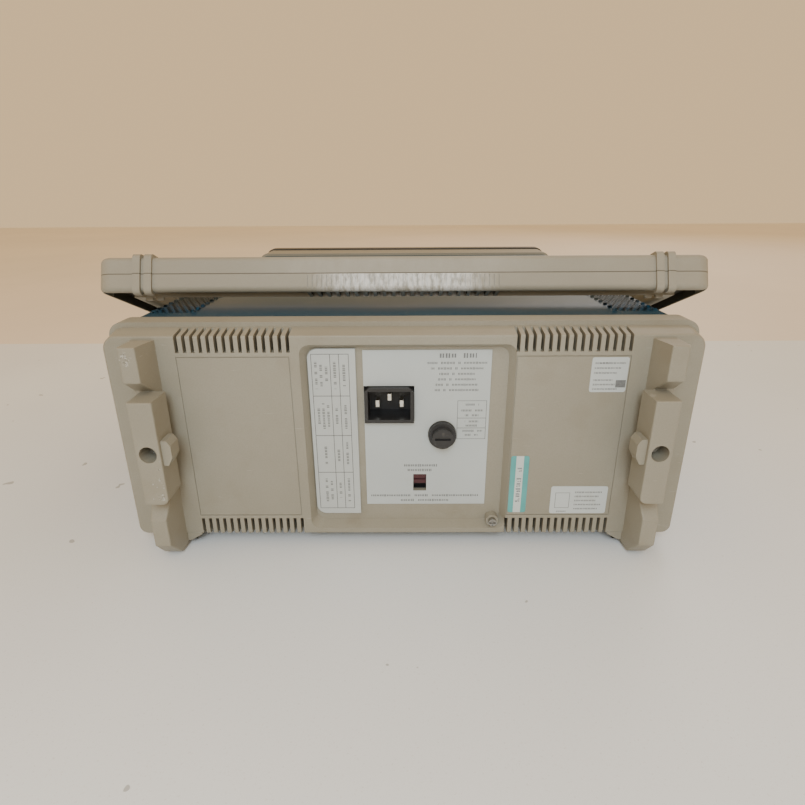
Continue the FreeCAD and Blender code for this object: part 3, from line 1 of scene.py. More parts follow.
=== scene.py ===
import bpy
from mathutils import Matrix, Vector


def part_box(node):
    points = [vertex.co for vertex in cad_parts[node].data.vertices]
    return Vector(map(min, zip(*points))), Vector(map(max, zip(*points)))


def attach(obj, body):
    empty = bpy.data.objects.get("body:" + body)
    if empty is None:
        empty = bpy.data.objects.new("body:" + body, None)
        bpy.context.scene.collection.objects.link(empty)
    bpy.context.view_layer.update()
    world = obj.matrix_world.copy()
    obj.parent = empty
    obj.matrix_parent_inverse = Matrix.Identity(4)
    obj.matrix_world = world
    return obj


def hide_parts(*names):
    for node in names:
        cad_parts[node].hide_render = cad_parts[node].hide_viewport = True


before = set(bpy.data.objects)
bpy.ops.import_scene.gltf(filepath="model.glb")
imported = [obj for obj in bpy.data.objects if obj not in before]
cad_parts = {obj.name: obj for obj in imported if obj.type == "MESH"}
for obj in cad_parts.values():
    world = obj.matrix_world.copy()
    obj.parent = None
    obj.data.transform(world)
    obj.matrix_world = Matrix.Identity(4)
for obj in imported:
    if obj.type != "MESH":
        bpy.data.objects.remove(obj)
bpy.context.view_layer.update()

import math

import bpy
from mathutils import Matrix, Vector

MM = 0.001

# The camera stands behind the instrument and a little above it, and looks down at the rear panel.
# Its place is measured from the middle of the rear face, which is at rear_y, and its lens is for a 36 mm
# sensor.

recess_depth = 6 * MM
rear_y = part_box("rating_plate")[0].y + recess_depth
camera_data = bpy.data.cameras.new("viewpoint")
camera_data.lens = 24.68
camera_data.sensor_width = 36
camera = bpy.data.objects.new("viewpoint", camera_data)
bpy.context.collection.objects.link(camera)
pitch, heading, roll = math.radians(21.18), math.radians(0.48), math.radians(0.37)
flat = math.cos(pitch)
forward = Vector((math.sin(heading) * flat, -math.cos(heading) * flat, -math.sin(pitch)))
level_right = forward.cross(Vector((0, 0, 1))).normalized()
level_up = level_right.cross(forward)
right = level_right * math.cos(roll) - level_up * math.sin(roll)
up = level_up * math.cos(roll) + level_right * math.sin(roll)
turn = Matrix((right, up, -forward)).transposed().to_4x4()
camera.matrix_world = Matrix.Translation((-1.98 * MM, rear_y + 287.06 * MM, 206.19 * MM)) @ turn
bpy.context.scene.camera = camera


# Shader helpers. A wire is an output of a material's nodes, and arithmetic on wires adds Math nodes.


class Wire:
    """One output socket in a material."""

    def __init__(self, tree, socket):
        self.tree = tree
        self.socket = socket

    def node(self, kind, settings=None, inputs=None, output=0):
        """Add a node: its settings first, then the values or wires of its sockets."""
        made = self.tree.nodes.new(kind)
        for name, value in (settings or {}).items():
            if name == "stops":
                while len(made.color_ramp.elements) < len(value):
                    made.color_ramp.elements.new(0.5)
                for element, (place, colour) in zip(made.color_ramp.elements, value):
                    element.position, element.color = place, (*colour, 1)
            else:
                setattr(made, name, value)
        for name, value in (inputs or {}).items():
            if isinstance(value, Wire):
                self.tree.links.new(value.socket, made.inputs[name])
            else:
                made.inputs[name].default_value = value
        return Wire(self.tree, made.outputs[output])

    def math(self, operation, first, second=0.0, third=0.0):
        return self.node("ShaderNodeMath", {"operation": operation}, {0: first, 1: second, 2: third})

    def __add__(self, other):
        return self.math("ADD", self, other)

    def __radd__(self, other):
        return self.math("ADD", other, self)

    def __sub__(self, other):
        return self.math("SUBTRACT", self, other)

    def __rsub__(self, other):
        return self.math("SUBTRACT", other, self)

    def __mul__(self, other):
        return self.math("MULTIPLY", self, other)

    def __rmul__(self, other):
        return self.math("MULTIPLY", other, self)

    def __truediv__(self, other):
        return self.math("DIVIDE", self, other)

    def __rtruediv__(self, other):
        return self.math("DIVIDE", other, self)

    def __lt__(self, other):
        return self.math("LESS_THAN", self, other)

    def __gt__(self, other):
        return self.math("GREATER_THAN", self, other)

    def __abs__(self):
        return self.math("ABSOLUTE", self)

    def axes(self):
        return [self.node("ShaderNodeSeparateXYZ", None, {0: self}, axis) for axis in range(3)]

    def noise(self, scale, detail=3.0, roughness=0.55, stretch=None):
        """Noise from 0 to 1 over a place, finer as scale grows."""
        place = self
        if stretch:
            place = self.node("ShaderNodeVectorMath", {"operation": "MULTIPLY"}, {0: self, 1: stretch})
        inputs = {"Vector": place, "Scale": scale, "Detail": detail, "Roughness": roughness}
        return self.node("ShaderNodeTexNoise", None, inputs)

    def between(self, low, high):
        """Rises smoothly from 0 at low to 1 at high."""
        settings = {"interpolation_type": "SMOOTHSTEP"}
        return self.node("ShaderNodeMapRange", settings, {"Value": self, "From Min": low, "From Max": high})

    def within(self, low, high):
        """1 between two values and 0 outside them."""
        return (self > low) * (self < high)

    def tint(self, first, second):
        """The first colour where this wire is 0, and the second where it is 1."""
        sides = [c if isinstance(c, Wire) else (*c, 1) for c in (first, second)]
        return self.node("ShaderNodeMix", {"data_type": "RGBA"}, {0: self, 6: sides[0], 7: sides[1]}, 2)


def new_material(name):
    """A cleared material, and the place on the object as a wire."""
    material = bpy.data.materials.new(name)
    material.use_nodes = True
    material.node_tree.nodes.clear()
    coordinates = material.node_tree.nodes.new("ShaderNodeTexCoord")
    return material, Wire(material.node_tree, coordinates.outputs["Object"])


def complete(material, colour, roughness, height=None, depth=0.0, **uniform):
    """Join a material's wires to its shader. height is a relief that is depth metres deep."""
    settings = {name.replace("_", " "): value for name, value in uniform.items()}
    inputs = {"Base Color": colour, "Roughness": roughness, **settings}
    if height is not None:
        bump = {"Height": height, "Distance": depth, "Strength": 1.0}
        inputs["Normal"] = colour.node("ShaderNodeBump", None, bump)
    shader = colour.node("ShaderNodeBsdfPrincipled", None, inputs)
    output = material.node_tree.nodes.new("ShaderNodeOutputMaterial")
    material.node_tree.links.new(shader.socket, output.inputs["Surface"])
    return material


def paint(material, *names):
    """Give CAD nodes or pieces a material in every slot."""
    for name in names:
        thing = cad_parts.get(name) or bpy.data.objects[name]
        if not thing.material_slots:
            thing.data.materials.append(material)
        for slot in thing.material_slots:
            slot.material = material


# The floor is a pale bench top, worn dull in patches. A little behind the instrument it gives way to warm
# ochre paint. Soft lamps beside the camera and overhead, and a warm room, light it.

bpy.ops.object.select_all(action="DESELECT")
bpy.ops.mesh.primitive_plane_add(size=6, location=(0, 0, 0))
floor = bpy.context.object
floor.name = "bench_top"
material, place = new_material("bench_laminate")
x, y, z = place.axes()
cloud = place.noise(1.6, 4).between(0.35, 0.7)
fleck = place.noise(900, 2).between(0.62, 0.7)
speck = place.noise(55, 2).between(0.735, 0.745)
laminate = cloud.tint((0.79, 0.825, 0.86), (0.86, 0.895, 0.93))
laminate = (fleck * 0.2).tint(laminate, (0.42, 0.39, 0.34))
laminate = (speck * 0.6).tint(laminate, (0.25, 0.24, 0.22))
ochre = cloud.tint((0.84, 0.75, 0.64), (0.9, 0.8, 0.68))
paint_edge = rear_y - 486 * MM
colour = (y < paint_edge + 0.002 * place.noise(3, 2)).tint(laminate, ochre)
complete(material, colour, 0.4 + place.noise(6, 5) * 0.18, place.noise(300, 3), 0.00004)
floor.data.materials.append(material)

room = bpy.data.worlds.new("room")
bpy.context.scene.world = room
room.use_nodes = True
room.node_tree.nodes["Background"].inputs["Color"].default_value = (1, 0.7, 0.38, 1)
room.node_tree.nodes["Background"].inputs["Strength"].default_value = 0.88


def soft_lamp(name, place, target, size, power, colour):
    lamp = bpy.data.lights.new(name, "AREA")
    lamp.shape = "DISK"
    lamp.size, lamp.energy, lamp.color = size, power, colour
    thing = bpy.data.objects.new(name, lamp)
    bpy.context.collection.objects.link(thing)
    thing.location = place
    thing.rotation_euler = (Vector(target) - Vector(place)).to_track_quat("-Z", "Y").to_euler()


soft_lamp("camera_side_lamp", (0.06, 1.05, 0.78), (0, 0.15, 0.02), 0.6, 6.6, (0.8, 0.92, 1))
soft_lamp("table_lamp", (0.02, 0.8, 0.42), (0, 0.36, 0), 0.3, 1.5, (0.8, 0.92, 1))
soft_lamp("ceiling_lamp", (0.2, 0.5, 2.2), (0, 0.2, 0), 1.6, 1, (0.9, 0.95, 1))
soft_lamp("front_lamp", (-0.9, -1.6, 1.3), (0, -0.1, 0.08), 1.2, 9, (0.9, 0.95, 1))

# Rear frame, cord-wrap feet and front bezel: one warm grey-beige moulded plastic, spark-eroded to a fine
# grain, gone uneven with age, with grime that is heaviest low down, and pits and scores where it has been
# set down.


def beige_plastic():
    material, place = new_material("moulded_beige")
    x, y, z = place.axes()
    blotch = place.noise(9, 4).between(0.3, 0.75)
    speckle = place.noise(1400, 2)
    grain = place.noise(2600, 2)
    colour = blotch.tint((0.262, 0.244, 0.192), (0.3, 0.281, 0.226))
    colour = (speckle.between(0.35, 0.75) * 0.22).tint(colour, (0.2, 0.18, 0.138))
    low = 1 - z.between(0.0, 0.05)
    grime = place.noise(45, 5).between(0.52, 0.72) * (0.18 + 0.2 * low)
    colour = grime.tint(colour, (0.2, 0.167, 0.112))
    roughness = 0.5 + 0.12 * blotch - 0.06 * speckle
    worn = tower_scuffs(place, x, y, z)
    pit = place.noise(900, 3).between(0.5, 0.56)
    colour = worn.tint(colour, pit.tint((0.5, 0.49, 0.45), (0.11, 0.09, 0.07)))
    roughness = roughness + 0.15 * worn
    scratches = place.noise(80, 3, stretch=(1, 1, 14)).between(0.71, 0.74)
    colour = (scratches * 0.3).tint(colour, (0.47, 0.45, 0.39))
    return complete(material, colour, roughness, grain + 0.4 * speckle, 0.00006)


def tower_scuffs(place, x, y, z):
    """One tower's tip is pitted near its top, and one foot is scored below its screw."""
    tip = y.between(rear_y + 0.019, rear_y + 0.0198)
    ring = 1 - (abs(x - 0.1405) / 0.0042 + abs(z - 0.1265) / 0.0052).between(0.55, 1.1)
    chips = place.noise(620, 5, 0.7).between(0.46, 0.56) * ring * tip
    foot = y.between(rear_y + 0.0255, rear_y + 0.026) * x.within(0.1295, 0.1365) * z.within(0.048, 0.072)
    scores = place.noise(380, 4, 0.7, (1, 1, 0.35)).between(0.57, 0.63) * foot
    return chips * 0.8 + scores * 0.7


paint(beige_plastic(), "rear_panel", "cord_wrap_foot_left", "cord_wrap_foot_right", "front_bezel")

# Handle: two mouldings of the same plastic, with a parting line where they meet. Hands have worn its ribbed
# middle pale and glossy, and a painted highlight lightens the lower half of that middle. Its underside is
# hollow, and painted shade darkens it. Places on it are measured from its pivot, out along its slope and
# square to it.

hub_low, hub_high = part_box("handle_hub_right")
pivot_y, pivot_z = (hub_low.y + hub_high.y) / 2, (hub_low.z + hub_high.z) / 2
handle_slope = math.radians(22.5)


def handle_plastic():
    material, place = new_material("moulded_handle")
    x, y, z = place.axes()
    back, above = y - pivot_y, z - pivot_z
    out = back * math.cos(handle_slope) + above * math.sin(handle_slope)
    rise = above * math.cos(handle_slope) - back * math.sin(handle_slope)
    blotch = place.noise(12, 4).between(0.3, 0.75)
    speckle = place.noise(1500, 2)
    colour = blotch.tint((0.285, 0.265, 0.212), (0.327, 0.308, 0.254))
    colour = (speckle.between(0.35, 0.75) * 0.2).tint(colour, (0.25, 0.22, 0.165))
    # Painted highlight: the lower half of the grip's middle is painted pale where it would catch a
    # reflection. The lower roughness there is real wear.
    worn_gloss_and_painted_highlight = (1 - abs(x).between(0.03, 0.062)) * (out > 0.2) * (rise < -0.0004)
    smear = place.noise(420, 4, stretch=(1, 1, 0.2)).between(0.3, 0.62)
    colour = (worn_gloss_and_painted_highlight * smear * 0.85).tint(colour, (0.68, 0.68, 0.66))
    upper_middle = (1 - abs(x).between(0.05, 0.1)) * (out > 0.2) * (rise > 0)
    handled = upper_middle * place.noise(160, 3, stretch=(1, 1, 0.3))
    colour = (handled * 0.3).tint(colour, (0.5, 0.49, 0.45))
    # Painted shade: the hollow underside of the bar and the inner channels of the arms are painted
    # near-black.
    painted_shade_band = rise.within(-0.0104, -0.0045)
    painted_shade_places = out.within(0.2058, 0.2184) * (abs(x) < 0.187) + abs(x).within(0.1743, 0.1876) * (out < 0.206)
    colour = (painted_shade_band * painted_shade_places * 0.9).tint(colour, (0.035, 0.028, 0.018))
    parting = 1 - abs(rise).between(0.00012, 0.00032)
    colour = (parting * 0.75).tint(colour, (0.07, 0.055, 0.04))
    roughness = 0.55 + 0.1 * blotch - 0.22 * worn_gloss_and_painted_highlight
    grain = place.noise(2600, 2) + 0.5 * place.noise(300, 3) - 4 * parting
    return complete(material, colour, roughness, grain, 0.00007)


paint(handle_plastic(), "handle_upper_shell", "handle_lower_shell")

# Sleeve: steel sheet wrapped round the chassis and stove-enamelled dark blue with a fine texture.
# The CAD sheet is copied and opened near both sides of its top, and punched strips fill the openings.

sleeve_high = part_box("cabinet_sleeve")[1]
sheet_thickness = 1.2 * MM
hole_pitch = 4.4 * MM
hole_radius = 1.3 * MM
strip_columns, strip_rows = 6, 54
strip_width = strip_columns * hole_pitch
strip_length = strip_rows * hole_pitch
strip_rear = rear_y - 50 * MM
strip_outer = sleeve_high.x - 6 * MM


def deselect():
    if bpy.context.object and bpy.context.object.mode != "OBJECT":
        bpy.ops.object.mode_set(mode="OBJECT")
    bpy.ops.object.select_all(action="DESELECT")


def pick(thing):
    """Make one object the only selected and the active one."""
    deselect()
    thing.select_set(True)
    bpy.context.view_layer.objects.active = thing
    return thing


def settle(thing):
    """Bake an object's place, turn and size into its mesh."""
    pick(thing)
    bpy.ops.object.transform_apply(location=True, rotation=True, scale=True)
    return thing


def apply_modifier(thing, kind, **settings):
    pick(thing)
    modifier = thing.modifiers.new(kind.lower(), kind)
    for name, value in settings.items():
        setattr(modifier, name, value)
    bpy.ops.object.modifier_apply(modifier=modifier.name)
    return thing


def weld(thing, distance=0.00001):
    pick(thing)
    bpy.ops.object.mode_set(mode="EDIT")
    bpy.ops.mesh.select_all(action="SELECT")
    bpy.ops.mesh.remove_doubles(threshold=distance)
    bpy.ops.mesh.normals_make_consistent(inside=False)
    bpy.ops.object.mode_set(mode="OBJECT")
    return thing


def join(things, name):
    deselect()
    for thing in things:
        thing.select_set(True)
    bpy.context.view_layer.objects.active = things[0]
    bpy.ops.object.join()
    things[0].name = name
    return things[0]


def punched_tile():
    """A square of sheet with an eight-sided hole, whose rim meets its neighbours' corners and mid-edges."""
    deselect()
    bpy.ops.mesh.primitive_circle_add(vertices=8, radius=hole_radius, location=(0, 0, 0))
    tile = bpy.context.object
    bpy.ops.object.mode_set(mode="EDIT")
    bpy.ops.mesh.select_all(action="SELECT")
    grow = hole_pitch / 2 / hole_radius
    bpy.ops.mesh.extrude_edges_move()
    bpy.ops.transform.resize(value=(grow, grow, 1))
    bpy.ops.object.mode_set(mode="OBJECT")
    for vertex in tile.data.vertices:
        diagonal = abs(abs(vertex.co.x) - abs(vertex.co.y)) < 1e-6
        vertex.select = diagonal and vertex.co.length > hole_radius * 1.01
    bpy.ops.object.mode_set(mode="EDIT")
    bpy.ops.mesh.select_mode(type="VERT")
    bpy.ops.transform.resize(value=(math.sqrt(2), math.sqrt(2), 1))
    bpy.ops.object.mode_set(mode="OBJECT")
    return tile


def half_blank():
    """Half a tile with no hole, which squares off the ends of every other row."""
    deselect()
    bpy.ops.mesh.primitive_grid_add(x_subdivisions=1, y_subdivisions=2, size=1)
    blank = bpy.context.object
    blank.scale = (hole_pitch / 2, hole_pitch, 1)
    return settle(blank)


def repeat(thing, count, step):
    apply_modifier(thing, "ARRAY", count=count, use_relative_offset=False, use_constant_offset=True,
                   constant_offset_displace=step)


def punched_strip():
    """Two rows of holes, the second shifted by half a pitch, repeated down the strip."""
    even = punched_tile()
    odd = even.copy()
    odd.data = even.data.copy()
    bpy.context.collection.objects.link(odd)
    repeat(even, strip_columns, (hole_pitch, 0, 0))
    repeat(odd, strip_columns - 1, (hole_pitch, 0, 0))
    odd.location = (hole_pitch / 2, hole_pitch, 0)
    ends = [half_blank(), half_blank()]
    ends[0].location = (-hole_pitch / 4, hole_pitch, 0)
    ends[1].location = (strip_width - hole_pitch * 0.75, hole_pitch, 0)
    for thing in (odd, *ends):
        settle(thing)
    strip = join([even, odd, *ends], "sleeve_strip")
    repeat(strip, strip_rows // 2, (0, 2 * hole_pitch, 0))
    weld(strip)
    if strip.data.polygons[0].normal.z < 0:
        strip.data.flip_normals()
    return apply_modifier(strip, "SOLIDIFY", thickness=sheet_thickness, offset=-1)


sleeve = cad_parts["cabinet_sleeve"].copy()
sleeve.data = sleeve.data.copy()
sleeve.name = "sleeve_sheet"
sleeve.parent = None
for key in list(sleeve.keys()):
    del sleeve[key]
bpy.context.collection.objects.link(sleeve)
weld(sleeve)
strips = []
for side in (1, -1):
    middle_x = side * (strip_outer - strip_width / 2)
    middle_y = strip_rear - strip_length / 2
    deselect()
    bpy.ops.mesh.primitive_cube_add(size=1, location=(middle_x, middle_y, sleeve_high.z))
    cutter = bpy.context.object
    cutter.scale = (strip_width, strip_length, 6 * MM)
    settle(cutter)
    apply_modifier(sleeve, "BOOLEAN", operation="DIFFERENCE", object=cutter, solver="EXACT")
    bpy.data.objects.remove(cutter)
    strip = punched_strip()
    corner_x, corner_y = middle_x - strip_width / 2, middle_y - strip_length / 2
    strip.location = (corner_x + hole_pitch / 2, corner_y + hole_pitch / 2, sleeve_high.z)
    strips.append(settle(strip))
sleeve = join([sleeve, *strips], "sleeve_sheet")
pick(sleeve)
bpy.ops.object.shade_smooth_by_angle(angle=math.radians(35))

material, place = new_material("blue_enamel")
x, y, z = place.axes()
cloud = place.noise(5, 4).between(0.3, 0.7)
stipple = place.noise(1900, 2)
colour = cloud.tint((0.006, 0.042, 0.076), (0.01, 0.056, 0.1))
colour = (stipple.between(0.4, 0.8) * 0.35).tint(colour, (0.034, 0.084, 0.12))
dust = place.noise(38, 6, 0.65).between(0.5, 0.8) * z.between(0.128, 0.135)
colour = (dust * 0.09).tint(colour, (0.26, 0.25, 0.23))
scratch = place.noise(30, 4, stretch=(12, 1, 1)).between(0.7, 0.725)
colour = (scratch * 0.4).tint(colour, (0.2, 0.24, 0.27))
complete(material, colour, 0.4 + 0.14 * cloud, stipple + 0.3 * place.noise(700, 2), 0.00012)
paint(material, "sleeve_sheet", "cabinet_sleeve")
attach(sleeve, "case")
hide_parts("cabinet_sleeve")

# Plates in the recess: a printed grey rating plate, and a raised plate with the fuse table. Their printing
# is ruled boxes and rows of ticks that stand for small print, with no letters in them. It is placed in
# metres across and up, with x towards the right as one looks at the rear face.


def strokes(along, across, start, end, level, height, pitch, seed):
    """Words of upright ticks of uneven height from start to end, about as high as small print."""
    cell = along.math("FLOOR", along / pitch)
    random = along.node("ShaderNodeTexWhiteNoise", {"noise_dimensions": "1D"}, {"W": cell + seed})
    part = along / pitch - cell
    ticks = (part.within(0.12, 0.42) + part.within(0.58, 0.86)) * (random > 0.14)
    return ticks * along.within(start, end) * (abs(across - level) < height * (0.32 + 0.18 * random))


def frame_line(along, across, box, width):
    """The outline of a box, (low, high) along and across."""
    (a, b), (c, d) = box
    outer = along.within(a - width, b + width) * across.within(c - width, d + width)
    return outer * (1 - along.within(a, b) * across.within(c, d))


def printed_plate(name, base, ink_of):
    material, place = new_material(name)
    x, y, z = place.axes()
    cloud = place.noise(14, 4).between(0.3, 0.75)
    colour = cloud.tint(tuple(c * 0.96 for c in base), tuple(min(c * 1.05, 1) for c in base))
    fade = 0.62 + 0.3 * place.noise(900, 2)
    colour = (ink_of(0 - x, z) * fade).tint(colour, (0.055, 0.055, 0.06))
    dirt = place.noise(60, 5).between(0.6, 0.8)
    colour = (dirt * 0.25).tint(colour, (0.3, 0.27, 0.2))
    return complete(material, colour, 0.38 + 0.12 * cloud, place.noise(1800, 2), 0.00003)


def rating_ink(x, z):
    """Printing on the rating plate: a heading and a paragraph, a small table, and lines by the selector."""
    ink = strokes(x, z, 0.0196, 0.0406, 0.1204, 0.003, 0.0033, 3)
    ends = (0.0467, 0.0445, 0.04, 0.0405, 0.0419, 0.0424)
    for row, end in enumerate(ends):
        ink = ink + strokes(x, z, 0.06 - end, end, 0.1162 - 0.0032 * row, 0.0015, 0.0016, row)
    ink = ink + frame_line(x, z, ((0.0311, 0.0472), (0.0702, 0.0936)), 0.0003)
    for row, level in enumerate((0.0914, 0.0878, 0.0848, 0.081, 0.0784, 0.0751, 0.0725)):
        inset = 0.0018 if row in (1, 5) else 0.0042
        ink = ink + strokes(x, z, 0.0311 + inset, 0.0472 - inset, level, 0.0015, 0.0017, 9 + row)
    for level in (0.0831, 0.0769):
        ink = ink + (abs(z - level) < 0.00018) * x.within(0.0311, 0.0472)
    ink = ink + strokes(x, z, -0.0012, 0.0201, 0.0527, 0.0019, 0.0021, 21)
    ink = ink + strokes(x, z, 0.002, 0.0172, 0.0496, 0.0019, 0.0021, 25)
    ink = ink + strokes(x, z, -0.0201, 0.045, 0.0323, 0.0016, 0.0021, 31)
    return ink + strokes(x, z, -0.0044, 0.0273, 0.029, 0.0016, 0.0021, 35)


def table_ink(x, z):
    """The fuse table: four rows and three columns, with small print that runs upwards in each cell."""
    left, right, foot, head = -0.0506, -0.0303, 0.0245, 0.1216
    columns = (-0.0404, -0.0355)
    rows = (foot, 0.0488, 0.0728, 0.0973, head)
    ink = frame_line(x, z, ((left, right), (foot, head)), 0.0004)
    for level in rows[1:-1]:
        ink = ink + (abs(z - level) < 0.00022) * x.within(left, right)
    for column in columns:
        ink = ink + (abs(x - column) < 0.0002) * z.within(foot, head)
    wide = ((-0.0462, -0.0432), (-0.0455,), (-0.0482, -0.0455, -0.0428), (-0.0485, -0.0457, -0.0427))
    for number, (low, high) in enumerate(zip(rows, rows[1:])):
        for line, middle in enumerate((*wide[number], -0.038, -0.0329)):
            inset = 0.0042 + 0.0014 * ((number + line) % 3)
            ink = ink + strokes(z, x, low + inset, high - inset, middle, 0.0017, 0.002, 5 * number + line)
    return ink


paint(printed_plate("rating_print", (0.45, 0.488, 0.492), rating_ink), "rating_plate")
paint(printed_plate("fuse_table_print", (0.45, 0.478, 0.473), table_ink), "fuse_table_plate")

# Labels: two white paper labels and a tall teal-edged one, each with rounded corners, stuck on the rear face.

teal_middle = 0.0677


def label(name, low, high, material):
    """A thin rounded sheet from one corner to the other, on the rear face."""
    deselect()
    middle = ((low[0] + high[0]) / 2, rear_y, (low[1] + high[1]) / 2)
    bpy.ops.mesh.primitive_plane_add(size=1, location=middle, rotation=(-math.pi / 2, 0, 0))
    sheet = bpy.context.object
    sheet.name = name
    sheet.scale = (high[0] - low[0], high[1] - low[1], 1)
    settle(sheet)
    bpy.ops.object.mode_set(mode="EDIT")
    bpy.ops.mesh.select_all(action="SELECT")
    bpy.ops.mesh.bevel(offset=1.3 * MM, segments=4, affect="VERTICES")
    bpy.ops.object.mode_set(mode="OBJECT")
    if sheet.data.polygons[0].normal.y < 0:
        sheet.data.flip_normals()
    apply_modifier(sheet, "SOLIDIFY", thickness=0.25 * MM, offset=1)
    sheet.data.materials.append(material)
    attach(sheet, "case")
    return sheet


def white_label_ink(x, z):
    """Rows of small print on both white labels, and a ruled box beside the lower one's print."""
    ink = strokes(x, z, 0.104, 0.1125, 0.1175, 0.0011, 0.0015, 1)
    for row in range(3):
        end, level = 0.1205 - 0.002 * row, 0.1175 - 0.0028 * row
        ink = ink + strokes(x, z, 0.104, end, level, 0.0011, 0.0015, 2 + row)
    for row in range(3):
        end, level = 0.1145 + 0.0015 * row, 0.1078 - 0.0026 * row
        ink = ink + strokes(x, z, 0.104, end, level, 0.0011, 0.0015, 7 + row)
    ink = ink + x.within(0.1165, 0.122) * z.within(0.1035, 0.1078)
    ink = ink + frame_line(x, z, ((0.0905, 0.0985), (0.0272, 0.037)), 0.0003)
    for row in range(5):
        end, level = 0.1175 - 0.0015 * (row % 3), 0.0375 - 0.0028 * row
        ink = ink + strokes(x, z, 0.1015, end, level, 0.0012, 0.0016, 12 + row)
    return ink + strokes(x, z, 0.0915, 0.0975, 0.0245, 0.001, 0.0014, 19)


def teal_label_material():
    material, place = new_material("teal_label_print")
    x, y, z = place.axes()
    cloud = place.noise(30, 4).between(0.3, 0.7)
    pale = cloud.tint((0.5, 0.55, 0.54), (0.56, 0.61, 0.6))
    teal = cloud.tint((0.078, 0.32, 0.315), (0.105, 0.385, 0.38))
    stripe = abs(0 - x - teal_middle) < 0.0022
    colour = stripe.tint(teal, pale)
    hand = strokes(z, 0 - x, 0.029, 0.055, teal_middle, 0.0028, 0.0034, 4) * (place.noise(700, 2) > 0.42)
    colour = (hand * 0.75).tint(colour, (0.07, 0.08, 0.1))
    crease = place.noise(90, 4)
    return complete(material, colour, 0.34 + 0.2 * cloud, crease, 0.00012)


label_boxes = {
    "upper_label": ((-0.1224, 0.1008), (-0.1024, 0.1208)),
    "lower_label": ((-0.1209, 0.0231), (-0.0874, 0.0415)),
    "teal_label": ((-0.073, 0.0239), (-0.0624, 0.0615)),
}
label_materials = {
    "upper_label": printed_plate("white_label_print", (0.49, 0.527, 0.53), white_label_ink),
    "teal_label": teal_label_material(),
}
label_materials["lower_label"] = label_materials["upper_label"]
for name, (low, high) in label_boxes.items():
    sheet = label(name, low, high, label_materials[name])
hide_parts("rear_labels")

# Inlet, fuse holder, selector, connectors and knob: black moulded plastic with a faint sheen. The front
# trim, pivots and feet are duller relatives of it.


def dark_plastic(name, base, gloss=0.4, grain_depth=0.00004):
    material, place = new_material(name)
    cloud = place.noise(40, 4).between(0.3, 0.7)
    colour = cloud.tint(base, tuple(c * 1.5 + 0.004 for c in base))
    dust = place.noise(300, 4).between(0.6, 0.75)
    colour = (dust * 0.18).tint(colour, (0.24, 0.22, 0.19))
    return complete(material, colour, gloss + 0.14 * cloud, place.noise(2200, 2), grain_depth)


black = dark_plastic("black_moulding", (0.014, 0.014, 0.015))
paint(black, "mains_inlet", "fuse_holder", "fuse_cap", "voltage_selector_body")
paint(black, "power_switch", "intensity_control", "pod_connectors")
paint(dark_plastic("selector_red_moulding", (0.035, 0.004, 0.007), 0.3), "voltage_selector_slider")
paint(dark_plastic("knob_moulding", (0.035, 0.034, 0.033), 0.38), "intensity_knob")
paint(dark_plastic("trim_moulding", (0.028, 0.025, 0.021), 0.44, 0.00006), "front_trim")
paint(dark_plastic("hub_moulding", (0.04, 0.038, 0.034), 0.45), "handle_hub_left", "handle_hub_right")
paint(dark_plastic("foot_rubber", (0.013, 0.013, 0.013), 0.68, 0.00012), "rubber_feet")

# Metal pieces: zinc-plated screws and sheet metal, nickel contacts, brass posts and a black heat sink.


def plated(name, base, roughness, brushed=(1, 1, 1)):
    material, place = new_material(name)
    cloud = place.noise(60, 4).between(0.3, 0.7)
    stain = place.noise(200, 5).between(0.6, 0.75)
    colour = cloud.tint(base, tuple(c * 1.25 for c in base))
    colour = (stain * 0.35).tint(colour, (0.2, 0.17, 0.12))
    lines = place.noise(1500, 2, stretch=brushed)
    return complete(material, colour, roughness + 0.15 * cloud, lines, 0.00003, Metallic=1.0)


paint(plated("zinc_plate", (0.3, 0.29, 0.27), 0.34), "case_screws")
paint(plated("zinc_sheet", (0.42, 0.42, 0.4), 0.38, (0.05, 1, 1)), "chassis", "crt_bracket", "pod_panel")
paint(plated("nickel", (0.62, 0.6, 0.54), 0.22), "inlet_pins")
paint(plated("brass", (0.55, 0.4, 0.18), 0.3), "board_posts")
paint(plated("black_anodised", (0.03, 0.03, 0.032), 0.4), "heat_sink")

# Pieces inside the case: boards with solder mask, tracks and pads, a ferrite yoke and transformer, the
# picture tube, and the tinted filter in front of it.

material, place = new_material("solder_mask")
tracks = place.node("ShaderNodeTexVoronoi", {"distance": "CHEBYCHEV"}, {"Vector": place, "Scale": 260.0})
mask = tracks.between(0.1, 0.16)
colour = mask.tint((0.05, 0.22, 0.09), (0.012, 0.11, 0.04))
pads = place.node("ShaderNodeTexVoronoi", None, {"Vector": place, "Scale": 400.0, "Randomness": 0.0})
colour = (pads < 0.16).tint(colour, (0.55, 0.52, 0.45))
complete(material, colour, 0.3 + 0.2 * mask, mask, 0.00004)
paint(material, "main_board", "acquisition_board", "power_supply_board", "key_board")
paint(dark_plastic("ferrite", (0.03, 0.03, 0.032), 0.6), "mains_transformer", "deflection_yoke")

material, place = new_material("tube_glass")
cloud = place.noise(20, 3).between(0.3, 0.7)
colour = cloud.tint((0.16, 0.19, 0.16), (0.2, 0.23, 0.2))
complete(material, colour, 0.08 + 0.05 * cloud, place.noise(30, 2), 0.00002)
paint(material, "crt_tube")

material, place = new_material("tinted_filter")
smear = place.noise(25, 5, stretch=(1, 1, 3)).between(0.45, 0.75)
colour = smear.tint((0.006, 0.012, 0.009), (0.012, 0.02, 0.016))
complete(material, colour, 0.06 + 0.12 * smear, place.noise(12, 2), 0.00002, Coat_Weight=0.6)
paint(material, "screen_filter")

# Control panel: enamelled plate with printed frames round its groups of keys and small-print legends.

